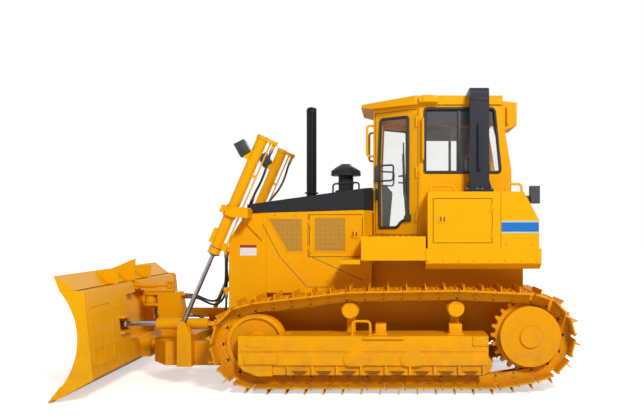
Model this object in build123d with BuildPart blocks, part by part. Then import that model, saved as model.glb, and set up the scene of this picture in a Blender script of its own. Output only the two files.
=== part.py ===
from build123d import *
from math import acos, asin, atan2, cos, degrees, hypot, pi, radians, sin, tan
import os

os.makedirs("parts", exist_ok=True)

# Crawler dozer with a six-way blade, in millimetres.  +X forward, +Y left, +Z up.
# The origin is on the ground, midway between the blade's tip and the rear grouser, on the centre plane.

# ---------------------------------------------------------------- undercarriage
TRACK_GAUGE = 1880.0            # between the two tracks' centre lines
SHOE_WIDTH = 560.0
SHOE_THICKNESS = 16.0
SHOE_COUNT = 42
GROUSER_HEIGHT = 57.0
GROUSER_THICKNESS = 14.0
PITCH_LINE_HEIGHT = 130.0       # bushing centres of the ground run above the ground
LINK_HALF_HEIGHT = 46.0         # from the bushings' centres to the rail
LINK_THICKNESS = 34.0
LINK_SPACING = 122.0            # between the two link plates' centres
BUSHING_RADIUS = 27.0
SPROCKET_X, SPROCKET_Z = -2089.0, 577.0
SPROCKET_TEETH = 25
IDLER_X = 753.0
IDLER_RADIUS = 307.0
CHAIN_PITCH = 190.5             # nominal, sets how the links lie on the idler
ROLLER_SEAT = 8.0               # the small rollers' clearance from the chain where it turns
CARRIER_RADIUS = 82.0
CARRIER_AXLES = [(-228.0, 840.0), (-1329.0, 857.0)]         # x, z
ROLLER_COUNT = 8
ROLLER_FRONT_X, ROLLER_REAR_X = 325.0, -1604.0
ROLLER_RADIUS = 95.0
FRAME_FRONT_X, FRAME_REAR_X = 911.0, -1651.0
FRAME_OUTER_Y, FRAME_INNER_Y = 1170.0, 722.0
FRAME_TOP_Z, FRAME_LEDGE_Z, FRAME_LOW_Z, GUARD_LOW_Z = 590.0, 425.0, 290.0, 186.0

# ---------------------------------------------------------------- hull
HOOD_HALF = 545.0               # half width over the engine side panels
PANEL = 6.0
GUARD_FRONT_X, GUARD_REAR_X = 1130.0, 720.0
GUARD_LOW = 700.0
HOOD_REAR_X = -440.0
HULL_HALF, HULL_REAR_X, HULL_TOP_Z = 400.0, -2120.0, 1609.7

# ---------------------------------------------------------------- cab
CAB_FRONT_X, CAB_FRONT_HALF = -450.0, 380.0
CAB_CORNER_X, CAB_HALF = -960.0, 800.0
CAB_REAR_TOP_X, CAB_REAR_LOW_X = -1820.0, -1935.0
CAB_FLOOR_Z, CAB_TOP_Z = 1610.0, 3010.0
CAB_WALL = 50.0
ROOF_TOP_Z = CAB_TOP_Z + 95
BOX_TOP_Z = 2070.0                             # side boxes beside the cab
CROSS_SHAFTS = ((-1560.0, 440.0), (-640.0, 470.0))   # carry the track frames
DOOR_GAP = 6.0
GLASS = 6.0

# ---------------------------------------------------------------- push frame and blade
ARM_INNER_Y, ARM_OUTER_Y = 565.0, 645.0
ARM_LOW_Z, ARM_TOP_Z = 206.0, 463.0
PIVOT_X, PIVOT_Z = -350.0, 430.0
BALL_X, BALL_Z, BALL_RADIUS = 2150.0, 330.0, 72.0
BLADE_HALF = 1650.0
TIP_X = 2657.0
EDGE_CLEARANCE = 6.0
TRUNNION_X, TRUNNION_Z = 1065.0, 1868.0
LIFT_EYE_X, LIFT_EYE_Z = 1588.0, 651.0
LIFT_Y = 750.0
ANGLE_PIVOT_X, ANGLE_Y, ANGLE_Z = 1235.0, 606.0, 655.0
ANGLE_EYE_X = 2250.0
TILT_Z, TILT_ROOT_Y, TILT_EYE_Y = 878.0, -110.0, -820.0
LINK_Z, LINK_REAR_X, LINK_FRONT_X = 1030.0, 1930.0, 2412.0


def save(piece, name):
    """Label a finished piece and write it as its own STEP file."""
    piece.part.label = name
    export_step(piece.part, f"parts/{name}.step")


def block(x, y, z, mode=Mode.ADD):
    """A box between two values on each axis, in the active part."""
    centre = ((x[0] + x[1]) / 2, (y[0] + y[1]) / 2, (z[0] + z[1]) / 2)
    with Locations(centre):
        Box(x[1] - x[0], y[1] - y[0], z[1] - z[0], mode=mode)


def side_plate(points, y_low, y_high, mode=Mode.ADD, radius=0.0):
    """An outline in x and z, extruded from y_low to y_high in the active part."""
    with BuildSketch(Plane.XZ.offset(-y_high)) as outline:
        with BuildLine():
            Polyline(*points, close=True)
        make_face()
        if radius:
            fillet(outline.vertices(), radius)
    extrude(outline.sketch, amount=y_high - y_low, mode=mode)


def top_plate(points, z_low, z_high, mode=Mode.ADD):
    """An outline in x and y, extruded from z_low to z_high in the active part."""
    with BuildSketch(Plane.XY.offset(z_low)) as outline:
        with BuildLine():
            Polyline(*points, close=True)
        make_face()
    extrude(outline.sketch, amount=z_high - z_low, mode=mode)


def front_plate(points, x_low, x_high, mode=Mode.ADD):
    """An outline in y and z, extruded from x_low to x_high in the active part."""
    with BuildSketch(Plane.YZ.offset(x_low)) as outline:
        with BuildLine():
            Polyline(*points, close=True)
        make_face()
    extrude(outline.sketch, amount=x_high - x_low, mode=mode)


def disc_y(x, z, radius, y_low, y_high, mode=Mode.ADD):
    """A round piece with its axis along y."""
    with BuildSketch(Plane.XZ.offset(-y_high)) as outline:
        with Locations((x, z)):
            Circle(radius)
    extrude(outline.sketch, amount=y_high - y_low, mode=mode)


def disc_z(x, y, radius, z_low, z_high, mode=Mode.ADD):
    """A round piece with its axis along z."""
    with BuildSketch(Plane.XY.offset(z_low)) as outline:
        with Locations((x, y)):
            Circle(radius)
    extrude(outline.sketch, amount=z_high - z_low, mode=mode)


def rod_between(start, end, radius, mode=Mode.ADD):
    """A round bar from one point to another."""
    direction = Vector(*end) - Vector(*start)
    with BuildSketch(Plane(origin=start, z_dir=direction)) as outline:
        Circle(radius)
    extrude(outline.sketch, amount=direction.length, mode=mode)


def tube_handle(points, radius, bend):
    """A bent round rail through the points, with the same bend at each corner."""
    with BuildLine() as route:
        FilletPolyline(*points, radius=bend)
    with BuildSketch(Plane(origin=points[0], z_dir=Vector(*points[1]) - Vector(*points[0]))) as outline:
        Circle(radius)
    sweep(outline.sketch, path=route.line)


# ================================================================ track chain
IDLER_PITCH_RADIUS = hypot(IDLER_RADIUS + LINK_HALF_HEIGHT, CHAIN_PITCH / 2)
IDLER_Z = PITCH_LINE_HEIGHT + IDLER_PITCH_RADIUS
SPROCKET_PITCH_RADIUS = 380.0


def chain_path():
    """The bushings' path: circles as (x, z, radius), walked over the top towards the rear."""
    carrier_pitch = CARRIER_RADIUS + LINK_HALF_HEIGHT + ROLLER_SEAT
    roller_pitch = ROLLER_RADIUS + LINK_HALF_HEIGHT + ROLLER_SEAT
    return [
        (IDLER_X, IDLER_Z, IDLER_PITCH_RADIUS),
        *[(x, z, carrier_pitch) for x, z in CARRIER_AXLES],
        (SPROCKET_X, SPROCKET_Z, SPROCKET_PITCH_RADIUS),
        (ROLLER_REAR_X - 0.8 * CHAIN_PITCH, PITCH_LINE_HEIGHT + roller_pitch, roller_pitch),
    ]


def tangent(a, b):
    """The outer tangent of two circles passed anticlockwise as seen from the right: end points."""
    dx, dz = b[0] - a[0], b[1] - a[1]
    length = hypot(dx, dz)
    along = atan2(dz, dx)
    lean = asin((a[2] - b[2]) / length)
    normal = along - pi / 2 + lean
    return tuple((c[0] + c[2] * cos(normal), c[1] + c[2] * sin(normal)) for c in (a, b))


def chain_points():
    """Bushing centres, evenly spaced along the path: (x, z)."""
    circles = chain_path()
    runs = [tangent(a, b) for a, b in zip(circles, circles[1:] + circles[:1])]
    pieces = []
    for index, circle in enumerate(circles):
        arrive, leave = runs[index - 1][1], runs[index][0]
        first = atan2(arrive[1] - circle[1], arrive[0] - circle[0])
        turn = (atan2(leave[1] - circle[1], leave[0] - circle[0]) - first) % (2 * pi)
        pieces.append((circle[2] * turn, circle, first, None))
        start, end = runs[index]
        pieces.append((hypot(end[0] - start[0], end[1] - start[1]), start, None, end))
    total = sum(piece[0] for piece in pieces)
    step = total / SHOE_COUNT
    # The first bushing sits in the tooth gap straight behind the sprocket's centre.
    before = sum(piece[0] for piece in pieces[:6])
    arc, circle, first, _ = pieces[6]
    offset = before + circle[2] * ((pi - first) % (2 * pi))
    points = []
    for number in range(SHOE_COUNT):
        run = (offset + number * step) % total
        for length, start, angle, end in pieces:
            if run <= length:
                break
            run -= length
        if angle is None:
            share = run / length
            point = start[0] + share * (end[0] - start[0]), start[1] + share * (end[1] - start[1])
        else:
            turned = angle + run / start[2]
            point = start[0] + start[2] * cos(turned), start[1] + start[2] * sin(turned)
        # rounded to a micron, so that the grousers on the ground are all exactly level
        points.append((round(point[0], 3), round(point[1], 3)))
    return points, step


CHAIN, CHAIN_STEP = chain_points()

SHOE_BASE = PITCH_LINE_HEIGHT - GROUSER_HEIGHT - SHOE_THICKNESS   # link's outer edge from the pitch line


def chain_offset(distance):
    """The closed chain polygon moved outwards by a distance: (x, z) corners."""
    corners = []
    for before, here, after in zip(CHAIN[-1:] + CHAIN[:-1], CHAIN, CHAIN[1:] + CHAIN[:1]):
        into = atan2(here[1] - before[1], here[0] - before[0])
        out_of = atan2(after[1] - here[1], after[0] - here[0])
        half = ((out_of - into + pi) % (2 * pi) - pi) / 2
        outward = into + half - pi / 2
        reach = distance / cos(half)
        corners.append((here[0] + reach * cos(outward), here[1] + reach * sin(outward)))
    return corners


def shoe_planes(y):
    """One plane for each shoe: local x along the chain, local y outwards, at the shoe's outer edge y."""
    planes = []
    for here, after in zip(CHAIN, CHAIN[1:] + CHAIN[:1]):
        middle = ((here[0] + after[0]) / 2, y, (here[1] + after[1]) / 2)
        along = (after[0] - here[0], 0, after[1] - here[1])
        planes.append(Plane(origin=middle, x_dir=along, z_dir=(0, 1, 0)))
    return planes


def shoe_outline():
    """A single-grouser shoe in its own frame: along the chain, outwards."""
    end = CHAIN_STEP / 2 - 2
    low = SHOE_BASE - 2
    top = SHOE_BASE + SHOE_THICKNESS
    tip = PITCH_LINE_HEIGHT
    bar = -0.27 * CHAIN_STEP
    half = GROUSER_THICKNESS / 2
    return [(-end, low), (end, low), (end, top), (bar + half, top), (bar + half - 2, tip),
            (bar - half + 2, tip), (bar - half, top), (-end, top)]


with BuildPart() as shoe:
    with BuildSketch():
        with BuildLine():
            Polyline(*shoe_outline(), close=True)
        make_face()
    extrude(amount=-SHOE_WIDTH)

track_centre = TRACK_GAUGE / 2
shoe_outer = track_centre + SHOE_WIDTH / 2
with BuildPart() as track_left:
    for offset in (-LINK_SPACING / 2, LINK_SPACING / 2):
        middle = track_centre + offset
        side_plate(chain_offset(SHOE_BASE), middle - LINK_THICKNESS / 2, middle + LINK_THICKNESS / 2)
        side_plate(chain_offset(-LINK_HALF_HEIGHT), middle - LINK_THICKNESS / 2,
                   middle + LINK_THICKNESS / 2, Mode.SUBTRACT)
    inner_gap = LINK_SPACING / 2 - LINK_THICKNESS / 2 + 1
    with BuildSketch(Plane.XZ.offset(-(track_centre + inner_gap))):
        with Locations(*CHAIN):
            RegularPolygon(BUSHING_RADIUS, 6)
    extrude(amount=2 * inner_gap)
    with Locations(*[Location(plane) for plane in shoe_planes(shoe_outer)]):
        add(shoe.part)
save(track_left, "track_left")

with BuildPart() as track_right:
    mirror(track_left.part, about=Plane.XZ)
save(track_right, "track_right")

# ================================================================ wheels of the undercarriage
RUNNING_GAP = 0.3
ROLLER_PITCH = (ROLLER_FRONT_X - ROLLER_REAR_X) / (ROLLER_COUNT - 1)
roller_z = PITCH_LINE_HEIGHT + LINK_HALF_HEIGHT + ROLLER_RADIUS
rail_half = LINK_SPACING / 2 + LINK_THICKNESS / 2
flange_half = LINK_SPACING / 2 - LINK_THICKNESS / 2 - 4


def wheel(x, z, radius, flange_radius, width_half):
    """A flanged wheel on the left track's centre line, in the active part."""
    disc_y(x, z, radius - RUNNING_GAP, track_centre - width_half, track_centre + width_half)
    disc_y(x, z, flange_radius, track_centre - flange_half, track_centre + flange_half)


def sprocket_outline():
    """The toothed ring, four points a tooth, with the gaps under the bushings: (x, z)."""
    root = SPROCKET_PITCH_RADIUS - BUSHING_RADIUS - 4
    tip = SPROCKET_PITCH_RADIUS + 14
    tooth = [(root, -24.0), (tip, -12.0), (tip, 12.0), (root, 24.0)]      # radius, half width
    pitch = 2 * pi / SPROCKET_TEETH
    points = []
    for number in range(SPROCKET_TEETH):
        centre = pi + (number + 0.5) * pitch
        for radius, shift in tooth:
            angle = centre + shift / radius
            points.append((SPROCKET_X + radius * cos(angle), SPROCKET_Z + radius * sin(angle)))
    return points


DRUM_RADIUS, DRUM_OUTER_Y = 311.0, 1125.0
HUB_RADIUS, HUB_OUTER_Y = 110.0, 1152.0
with BuildPart() as sprockets:
    side_plate(sprocket_outline(), track_centre - flange_half, track_centre + flange_half)
    disc_y(SPROCKET_X, SPROCKET_Z, DRUM_RADIUS, track_centre - 60, DRUM_OUTER_Y)
    disc_y(SPROCKET_X, SPROCKET_Z, HUB_RADIUS, DRUM_OUTER_Y, HUB_OUTER_Y)
    disc_y(SPROCKET_X, SPROCKET_Z, 240, HULL_HALF, track_centre - 60)
    mirror(about=Plane.XZ)
save(sprockets, "sprockets")

IDLER_AXLE = 55.0
with BuildPart() as idlers:
    wheel(IDLER_X, IDLER_Z, IDLER_RADIUS, IDLER_RADIUS + 8, rail_half + 6)
    for face in (track_centre - rail_half - 6, track_centre + rail_half - 34):
        disc_y(IDLER_X, IDLER_Z, IDLER_RADIUS - 45, face, face + 40, Mode.SUBTRACT)
    disc_y(IDLER_X, IDLER_Z, 95, track_centre - rail_half - 6, track_centre + rail_half + 6)
    disc_y(IDLER_X, IDLER_Z, IDLER_AXLE, 800, 1080)
    mirror(about=Plane.XZ)
save(idlers, "idlers")

with BuildPart() as track_rollers:
    for number in range(ROLLER_COUNT):
        wheel(ROLLER_FRONT_X - number * ROLLER_PITCH, roller_z, ROLLER_RADIUS, ROLLER_RADIUS + 12, 105)
    mirror(about=Plane.XZ)
save(track_rollers, "track_rollers")

with BuildPart() as carrier_rollers:
    for x, z in CARRIER_AXLES:
        wheel(x, z, CARRIER_RADIUS, CARRIER_RADIUS + 10, 105)
        disc_y(x, z, 34, 800, track_centre - 104)
    mirror(about=Plane.XZ)
save(carrier_rollers, "carrier_rollers")

# ================================================================ track frames
FORK_X = 395.0
FORK_INNER_Y, FORK_OUTER_Y = 815.0, 1065.0
BOX_LOW_Z = roller_z + ROLLER_RADIUS + 18
SKIRT = 45.0
with BuildPart() as track_frames:
    block((FRAME_REAR_X, FRAME_FRONT_X), (FRAME_INNER_Y, FRAME_OUTER_Y), (FRAME_LOW_Z, FRAME_TOP_Z))
    block((FRAME_REAR_X - 1, FRAME_FRONT_X + 1), (FRAME_INNER_Y + SKIRT, FRAME_OUTER_Y - SKIRT),
          (FRAME_LOW_Z - 1, BOX_LOW_Z), Mode.SUBTRACT)
    block((FORK_X, FRAME_FRONT_X + 1), (FORK_INNER_Y, FORK_OUTER_Y), (FRAME_LOW_Z - 1, FRAME_TOP_Z + 1),
          Mode.SUBTRACT)
    side_plate([(FRAME_FRONT_X, FRAME_LOW_Z), (560, FRAME_LOW_Z), (560, 178), (720, 178), (860, 235)],
               FRAME_OUTER_Y - SKIRT, FRAME_OUTER_Y - 12)
    block((FRAME_REAR_X + 60, 556), (FRAME_OUTER_Y - SKIRT, FRAME_OUTER_Y - 25), (GUARD_LOW_Z, FRAME_LOW_Z))
    block((FRAME_REAR_X + 60, 556), (FRAME_INNER_Y, FRAME_INNER_Y + 20), (GUARD_LOW_Z, FRAME_LOW_Z))
    for x, z in CARRIER_AXLES:
        block((x - 45, x + 45), (758, 812), (FRAME_TOP_Z, z + 50))
        disc_y(x, z, 34.3, 757, 813, Mode.SUBTRACT)
    disc_y(IDLER_X, IDLER_Z, IDLER_AXLE + RUNNING_GAP, 790, 1090, Mode.SUBTRACT)
    mirror(about=Plane.XZ)
save(track_frames, "track_frames")

PIVOT_PIN = 50.0
SHAFT_RADIUS = 68.0
with BuildPart() as cross_shafts:
    for x, z in CROSS_SHAFTS:
        rod_between((x, -FRAME_INNER_Y + 0.3, z), (x, FRAME_INNER_Y - 0.3, z), SHAFT_RADIUS)
    for side in (1, -1):
        rod_between((PIVOT_X, side * (FRAME_INNER_Y - 0.3), PIVOT_Z), (PIVOT_X, side * 548, PIVOT_Z),
                    PIVOT_PIN)
save(cross_shafts, "cross_shafts")

# ================================================================ hull
DRAWBAR_Z, DRAWBAR_X, DRAWBAR_PIN = 620.0, 60.0 - TIP_X, 24.0
with BuildPart() as main_frame:
    side_plate([(HULL_REAR_X, 640), (-1760, 500), (600, 500), (1000, 640), (1075, 780), (1075, 995),
                (HOOD_REAR_X, 995), (HOOD_REAR_X, HULL_TOP_Z), (HULL_REAR_X, HULL_TOP_Z)],
               -HULL_HALF, HULL_HALF)
    for x, z in CROSS_SHAFTS:
        rod_between((x, -HULL_HALF - 1, z), (x, HULL_HALF + 1, z), SHAFT_RADIUS + RUNNING_GAP, Mode.SUBTRACT)
    # the drawbar, welded on
    block((-2260, HULL_REAR_X + 1), (-130, 130), (DRAWBAR_Z + 22, DRAWBAR_Z + 240))
    block((DRAWBAR_X + 60, -2259), (-60, 60), (DRAWBAR_Z - 60, DRAWBAR_Z + 60))
    block((-2261, HULL_REAR_X + 1), (-60, 60), (DRAWBAR_Z + 21, DRAWBAR_Z + 61))
    block((DRAWBAR_X - 60, DRAWBAR_X + 61), (-75, 75), (DRAWBAR_Z + 30, DRAWBAR_Z + 60))
    block((DRAWBAR_X - 60, DRAWBAR_X + 61), (-75, 75), (DRAWBAR_Z - 60, DRAWBAR_Z - 30))
    disc_z(DRAWBAR_X, 0, DRAWBAR_PIN, DRAWBAR_Z - 61, DRAWBAR_Z + 61, Mode.SUBTRACT)
save(main_frame, "main_frame")

with BuildPart() as engine_block:
    block((-330, 640), (-300, 300), (995, 1700))
save(engine_block, "engine_block")

HOOD_FRONT_X = 930.0
BAND_FRONT_Z, BAND_REAR_Z = 1857.0, 1896.0
HOOD_FRONT_Z, HOOD_REAR_Z = 1954.0, 2145.0


def band_z(x):
    """The lower edge of the hood's dark band."""
    return BAND_FRONT_Z + (BAND_REAR_Z - BAND_FRONT_Z) * (HOOD_FRONT_X - x) / (HOOD_FRONT_X - HOOD_REAR_X)


def hood_z(x):
    """The top of the hood."""
    return HOOD_FRONT_Z + (HOOD_REAR_Z - HOOD_FRONT_Z) * (HOOD_FRONT_X - x) / (HOOD_FRONT_X - HOOD_REAR_X)


CORNER_FRONT_X, CORNER_HALF = -350.0, 385.0     # the rear corners are cut back for the doors' swing


def rear_corners(low, high):
    """Cuts the two rear corners off the active part, seen from above."""
    top_plate([(CORNER_FRONT_X, HOOD_HALF + 1), (HOOD_REAR_X - 10, HOOD_HALF + 1),
               (HOOD_REAR_X - 10, CORNER_HALF)],
              low, high, Mode.SUBTRACT)
    top_plate([(CORNER_FRONT_X, -HOOD_HALF - 1), (HOOD_REAR_X - 10, -HOOD_HALF - 1),
               (HOOD_REAR_X - 10, -CORNER_HALF)], low, high, Mode.SUBTRACT)


def rear_corner_recess(low, high):
    """Hollows the filled rear corners of the active part again, leaving a wall along the cut."""
    inner = HOOD_HALF - PANEL
    for side in (1, -1):
        top_plate([(CORNER_FRONT_X + 30, side * inner), (CORNER_FRONT_X + 5, side * inner),
                   (HOOD_REAR_X + PANEL, side * (CORNER_HALF - 10)),
                   (HOOD_REAR_X + PANEL, side * (CORNER_HALF - 40)),
                   (CORNER_FRONT_X + 30, side * (CORNER_HALF - 40))], low, high, Mode.SUBTRACT)


BARREL_RADIUS, ROD_RADIUS = 59.0, 26.0
TRUNNION_RADIUS, CLAMP_RADIUS = 28.0, 72.0
LIFT_EYE_HALF, LIFT_EARS = 27.0, 51.0         # across the rod's eye and the ears that hold it
YOKE_EARS = ((LIFT_Y - 99, LIFT_Y - 77), (LIFT_Y + 77, LIFT_Y + 99))
YOKE_X = (870.0, 905.0)
trunnion = Vector(TRUNNION_X, LIFT_Y, TRUNNION_Z)
lift_eye = Vector(LIFT_EYE_X, LIFT_Y, LIFT_EYE_Z)
lift_down = (lift_eye - trunnion).normalized()
BARREL_ABOVE, BARREL_BELOW = 880.0, 490.0     # from the trunnion to the barrel's two ends
barrel_top = trunnion - lift_down * BARREL_ABOVE
barrel_end = trunnion + lift_down * BARREL_BELOW
WALL = 9.0
PISTON = 40.0
ROD_INSIDE = 560.0                            # rod left inside the barrel at rest

# the hoses' routes, from their first fitting to their second
TOWER_HOSES = {
    "hose_tower_a": [(1740, 30, 925), (1670, 30, 925), (1590, 52, 912), (1508, 96, 884), (1428, 156, 862),
                     (1352, 228, 866), (1286, 306, 906), (1232, 380, 970), (1196, 440, 1052),
                     (1178, 482, 1145),
                     (1172, 506, 1242), (1171, 514, 1336), (1171, 514, 1415)],
    "hose_tower_b": [(1735, -25, 890), (1665, -25, 890), (1586, -4, 874), (1504, 38, 842), (1424, 96, 818),
                     (1348, 166, 820), (1282, 242, 860), (1230, 314, 924), (1196, 374, 1004),
                     (1178, 420, 1096),
                     (1172, 448, 1194), (1171, 458, 1288), (1171, 458, 1368)],
    "hose_tower_low": [(1690, 70, 690), (1622, 70, 690), (1546, 92, 672), (1468, 134, 640), (1392, 190, 616),
                       (1320, 256, 610), (1262, 326, 636), (1218, 388, 690), (1190, 438, 758),
                       (1176, 470, 832),
                       (1171, 484, 908), (1171, 484, 968)],
}
LIFT_HOSE = [(626.4, 750, 2534), (656, 750, 2465), (676, 746, 2385), (702, 736, 2305), (735, 718, 2228),
             (774, 690, 2156), (814, 648, 2100), (846, 602, 2050), (872, 562, 2000)]
HOSE_RADIUS, PORT_RADIUS = 13.0, 19.0
TOWER_PORTS = [route[0] for route in TOWER_HOSES.values()]
GUARD_PORTS = [route[-1] for route in TOWER_HOSES.values()]

SCREEN_HALF, SCREEN_LOW, SCREEN_TOP, SCREEN_X = 430.0, 790.0, 1780.0, 985.0
with BuildPart() as radiator_guard:
    side_plate([(GUARD_REAR_X, GUARD_LOW), (GUARD_FRONT_X, GUARD_LOW), (GUARD_FRONT_X, 1560), (950, 1850),
                (GUARD_REAR_X, band_z(GUARD_REAR_X) - 0.5)], -HOOD_HALF, HOOD_HALF)
    block((SCREEN_X, GUARD_FRONT_X + 1), (-SCREEN_HALF, SCREEN_HALF), (SCREEN_LOW, SCREEN_TOP), Mode.SUBTRACT)
    block((GUARD_REAR_X - 1, SCREEN_X - 60), (-SCREEN_HALF, SCREEN_HALF), (GUARD_LOW - 1, 1810),
          Mode.SUBTRACT)
    block((GUARD_REAR_X - 1, 1076), (-HULL_HALF - 1, HULL_HALF + 1), (GUARD_LOW - 1, 996), Mode.SUBTRACT)
    # the lift cylinders' trunnion brackets
    for low, high in YOKE_EARS:
        side_plate([(YOKE_X[0], 1800), (TRUNNION_X - 13, 1812), (TRUNNION_X + 47, 1840),
                    (TRUNNION_X + 47, 1896),
                    (TRUNNION_X - 13, 1925), (YOKE_X[0], 1910)], low, high)
        disc_y(TRUNNION_X, TRUNNION_Z, TRUNNION_RADIUS + 0.05, low - 1, high + 1, Mode.SUBTRACT)
    block(YOKE_X, (HOOD_HALF + RUNNING_GAP, YOKE_EARS[1][1]), (1800, 1900))
    side_plate([(760, 1560), (985, 1790), (985, 1900), (YOKE_X[0], 1900), (YOKE_X[0], 1846), (760, 1850)],
               HOOD_HALF + RUNNING_GAP, HOOD_HALF + 24)
    side_plate([(760, 1560), (985, 1790), (HOOD_FRONT_X + 1, 1846), (760, 1850)], HOOD_HALF - 1,
               HOOD_HALF + 1)
    mirror(about=Plane.XZ)
    # the tower hoses' upper fittings
    for x, y, z in GUARD_PORTS:
        disc_z(x, y, PORT_RADIUS, z, z + 31)
        block((GUARD_FRONT_X - 1, x + 26), (y - 26, y + 26), (z + 30, z + 72))
save(radiator_guard, "radiator_guard")

with BuildPart() as radiator_grille:
    block((SCREEN_X, SCREEN_X + 12), (-SCREEN_HALF, SCREEN_HALF), (996, SCREEN_TOP))
    for number in range(15):
        low = 1010 + number * 50
        block((SCREEN_X + 10, SCREEN_X + 45), (-SCREEN_HALF, SCREEN_HALF), (low, low + 12))
save(radiator_grille, "radiator_grille")

STACK_X, STACK_RADIUS, STACK_TOP_Z = 280.0, 58.0, 3100.0
CLEANER_X = -120.0
CAP_RADIUS, CAP_LOW_Z, CAP_TOP_Z, NECK_RADIUS = 173.0, 2310.0, 2437.0, 87.0
with BuildPart() as hood:
    side_plate([(HOOD_REAR_X, BAND_REAR_Z), (HOOD_FRONT_X, BAND_FRONT_Z), (HOOD_FRONT_X, HOOD_FRONT_Z),
                (HOOD_REAR_X, HOOD_REAR_Z)], -HOOD_HALF, HOOD_HALF)
    side_plate([(HOOD_REAR_X + PANEL, BAND_REAR_Z - 5), (HOOD_FRONT_X - 30, BAND_FRONT_Z - 5),
                (HOOD_FRONT_X - 30, HOOD_FRONT_Z - PANEL), (HOOD_REAR_X + PANEL, HOOD_REAR_Z - 2 * PANEL)],
               -HOOD_HALF + PANEL, HOOD_HALF - PANEL, Mode.SUBTRACT)
    side_plate([(HOOD_REAR_X, BAND_REAR_Z), (CORNER_FRONT_X + 20, band_z(CORNER_FRONT_X + 20)),
                (CORNER_FRONT_X + 20, hood_z(CORNER_FRONT_X + 20)), (HOOD_REAR_X, HOOD_REAR_Z)],
               CORNER_HALF - 20, HOOD_HALF)
    mirror(about=Plane.XZ)
    rear_corners(0, 2200)
    rear_corner_recess(BAND_REAR_Z - 20, HOOD_REAR_Z - 25)
    disc_z(STACK_X, 0, STACK_RADIUS + 4, 1900, 2200, Mode.SUBTRACT)
    disc_z(CLEANER_X, 0, NECK_RADIUS + RUNNING_GAP, 1950, 2200, Mode.SUBTRACT)
    hose_end, hose_before = Vector(*LIFT_HOSE[-1]), Vector(*LIFT_HOSE[-2])
    rod_between(hose_end, hose_end + (hose_end - hose_before).normalized() * 75, PORT_RADIUS)
    mirror(about=Plane.XZ)
save(hood, "hood")

ENGINE_DOOR_X = (-330.0, 245.0)
ENGINE_DOOR_Z = (1383.0, 1838.0)
PANEL_LOW_Z = 985.0
HINGE_OUT, HINGE_RADIUS, HINGE_LENGTH = 8.0, 7.0, 40.0


def hinge_half(x, face_y, toward, low):
    """Half a door hinge on an outer face: a knuckle and its leaf, the leaf towards +X or -X."""
    disc_z(x, face_y + HINGE_OUT, HINGE_RADIUS, low, low + HINGE_LENGTH)
    leaf = sorted((x + toward * 4, x + toward * 26))
    block(leaf, (face_y, face_y + HINGE_OUT), (low, low + HINGE_LENGTH))


ENGINE_HINGE_X = ENGINE_DOOR_X[1] - 2
with BuildPart() as engine_side_panels:
    side_plate([(HOOD_REAR_X, PANEL_LOW_Z), (GUARD_REAR_X - 1, PANEL_LOW_Z),
                (GUARD_REAR_X - 1, band_z(GUARD_REAR_X) - 0.5), (HOOD_REAR_X, band_z(HOOD_REAR_X) - 0.5)],
               HOOD_HALF - PANEL, HOOD_HALF)
    block((HOOD_REAR_X - 1, CORNER_FRONT_X), (HOOD_HALF - PANEL - 1, HOOD_HALF + 1), (1600, 1900),
          Mode.SUBTRACT)
    top_plate([(CORNER_FRONT_X + 3, HOOD_HALF), (CORNER_FRONT_X - 1, HOOD_HALF),
               (HOOD_REAR_X, CORNER_HALF + 17),
               (HOOD_REAR_X, CORNER_HALF + 6), (CORNER_FRONT_X + 3, HOOD_HALF - 9)], 1600, BAND_REAR_Z - 6)
    top_plate([(CORNER_FRONT_X + 3, HOOD_HALF - PANEL), (CORNER_FRONT_X + 3, HOOD_HALF),
               (HOOD_REAR_X, HOOD_HALF),
               (HOOD_REAR_X, CORNER_HALF)], 1594, 1601)
    block((ENGINE_DOOR_X[0] - DOOR_GAP, ENGINE_DOOR_X[1] + DOOR_GAP), (HOOD_HALF - 20, HOOD_HALF + 1),
          (ENGINE_DOOR_Z[0] - DOOR_GAP, ENGINE_DOOR_Z[1] + DOOR_GAP), Mode.SUBTRACT)
    block((HOOD_REAR_X, GUARD_REAR_X - 1), (HULL_HALF, HOOD_HALF - PANEL), (PANEL_LOW_Z, PANEL_LOW_Z + PANEL))
    for low in (ENGINE_DOOR_Z[0] + 40, ENGINE_DOOR_Z[1] - 130):
        hinge_half(ENGINE_HINGE_X, HOOD_HALF, 1, low + HINGE_LENGTH + RUNNING_GAP)
    mirror(about=Plane.XZ)
save(engine_side_panels, "engine_side_panels")

for side, name in ((1, "left"), (-1, "right")):
    with BuildPart() as engine_door:
        block(ENGINE_DOOR_X, (HOOD_HALF - PANEL, HOOD_HALF), ENGINE_DOOR_Z)
        for low in (ENGINE_DOOR_Z[0] + 40, ENGINE_DOOR_Z[1] - 130):
            hinge_half(ENGINE_HINGE_X, HOOD_HALF, -1, low)
        block((ENGINE_DOOR_X[0] + 30, ENGINE_DOOR_X[0] + 90), (HOOD_HALF, HOOD_HALF + 8), (1580, 1640))
        if side < 0:
            mirror(about=Plane.XZ, mode=Mode.REPLACE)
    save(engine_door, f"engine_door_{name}")

with BuildPart() as exhaust_stack:
    disc_z(STACK_X, 0, STACK_RADIUS, 1700.3, STACK_TOP_Z)
    side_plate([(STACK_X - 90, STACK_TOP_Z + 1), (STACK_X + 90, STACK_TOP_Z + 1),
                (STACK_X + 90, STACK_TOP_Z - 60),
                (STACK_X - 90, STACK_TOP_Z)], -90, 90, Mode.SUBTRACT)
    disc_z(STACK_X, 0, STACK_RADIUS - 5, 2300, STACK_TOP_Z + 5, Mode.SUBTRACT)
save(exhaust_stack, "exhaust_stack")

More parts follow.
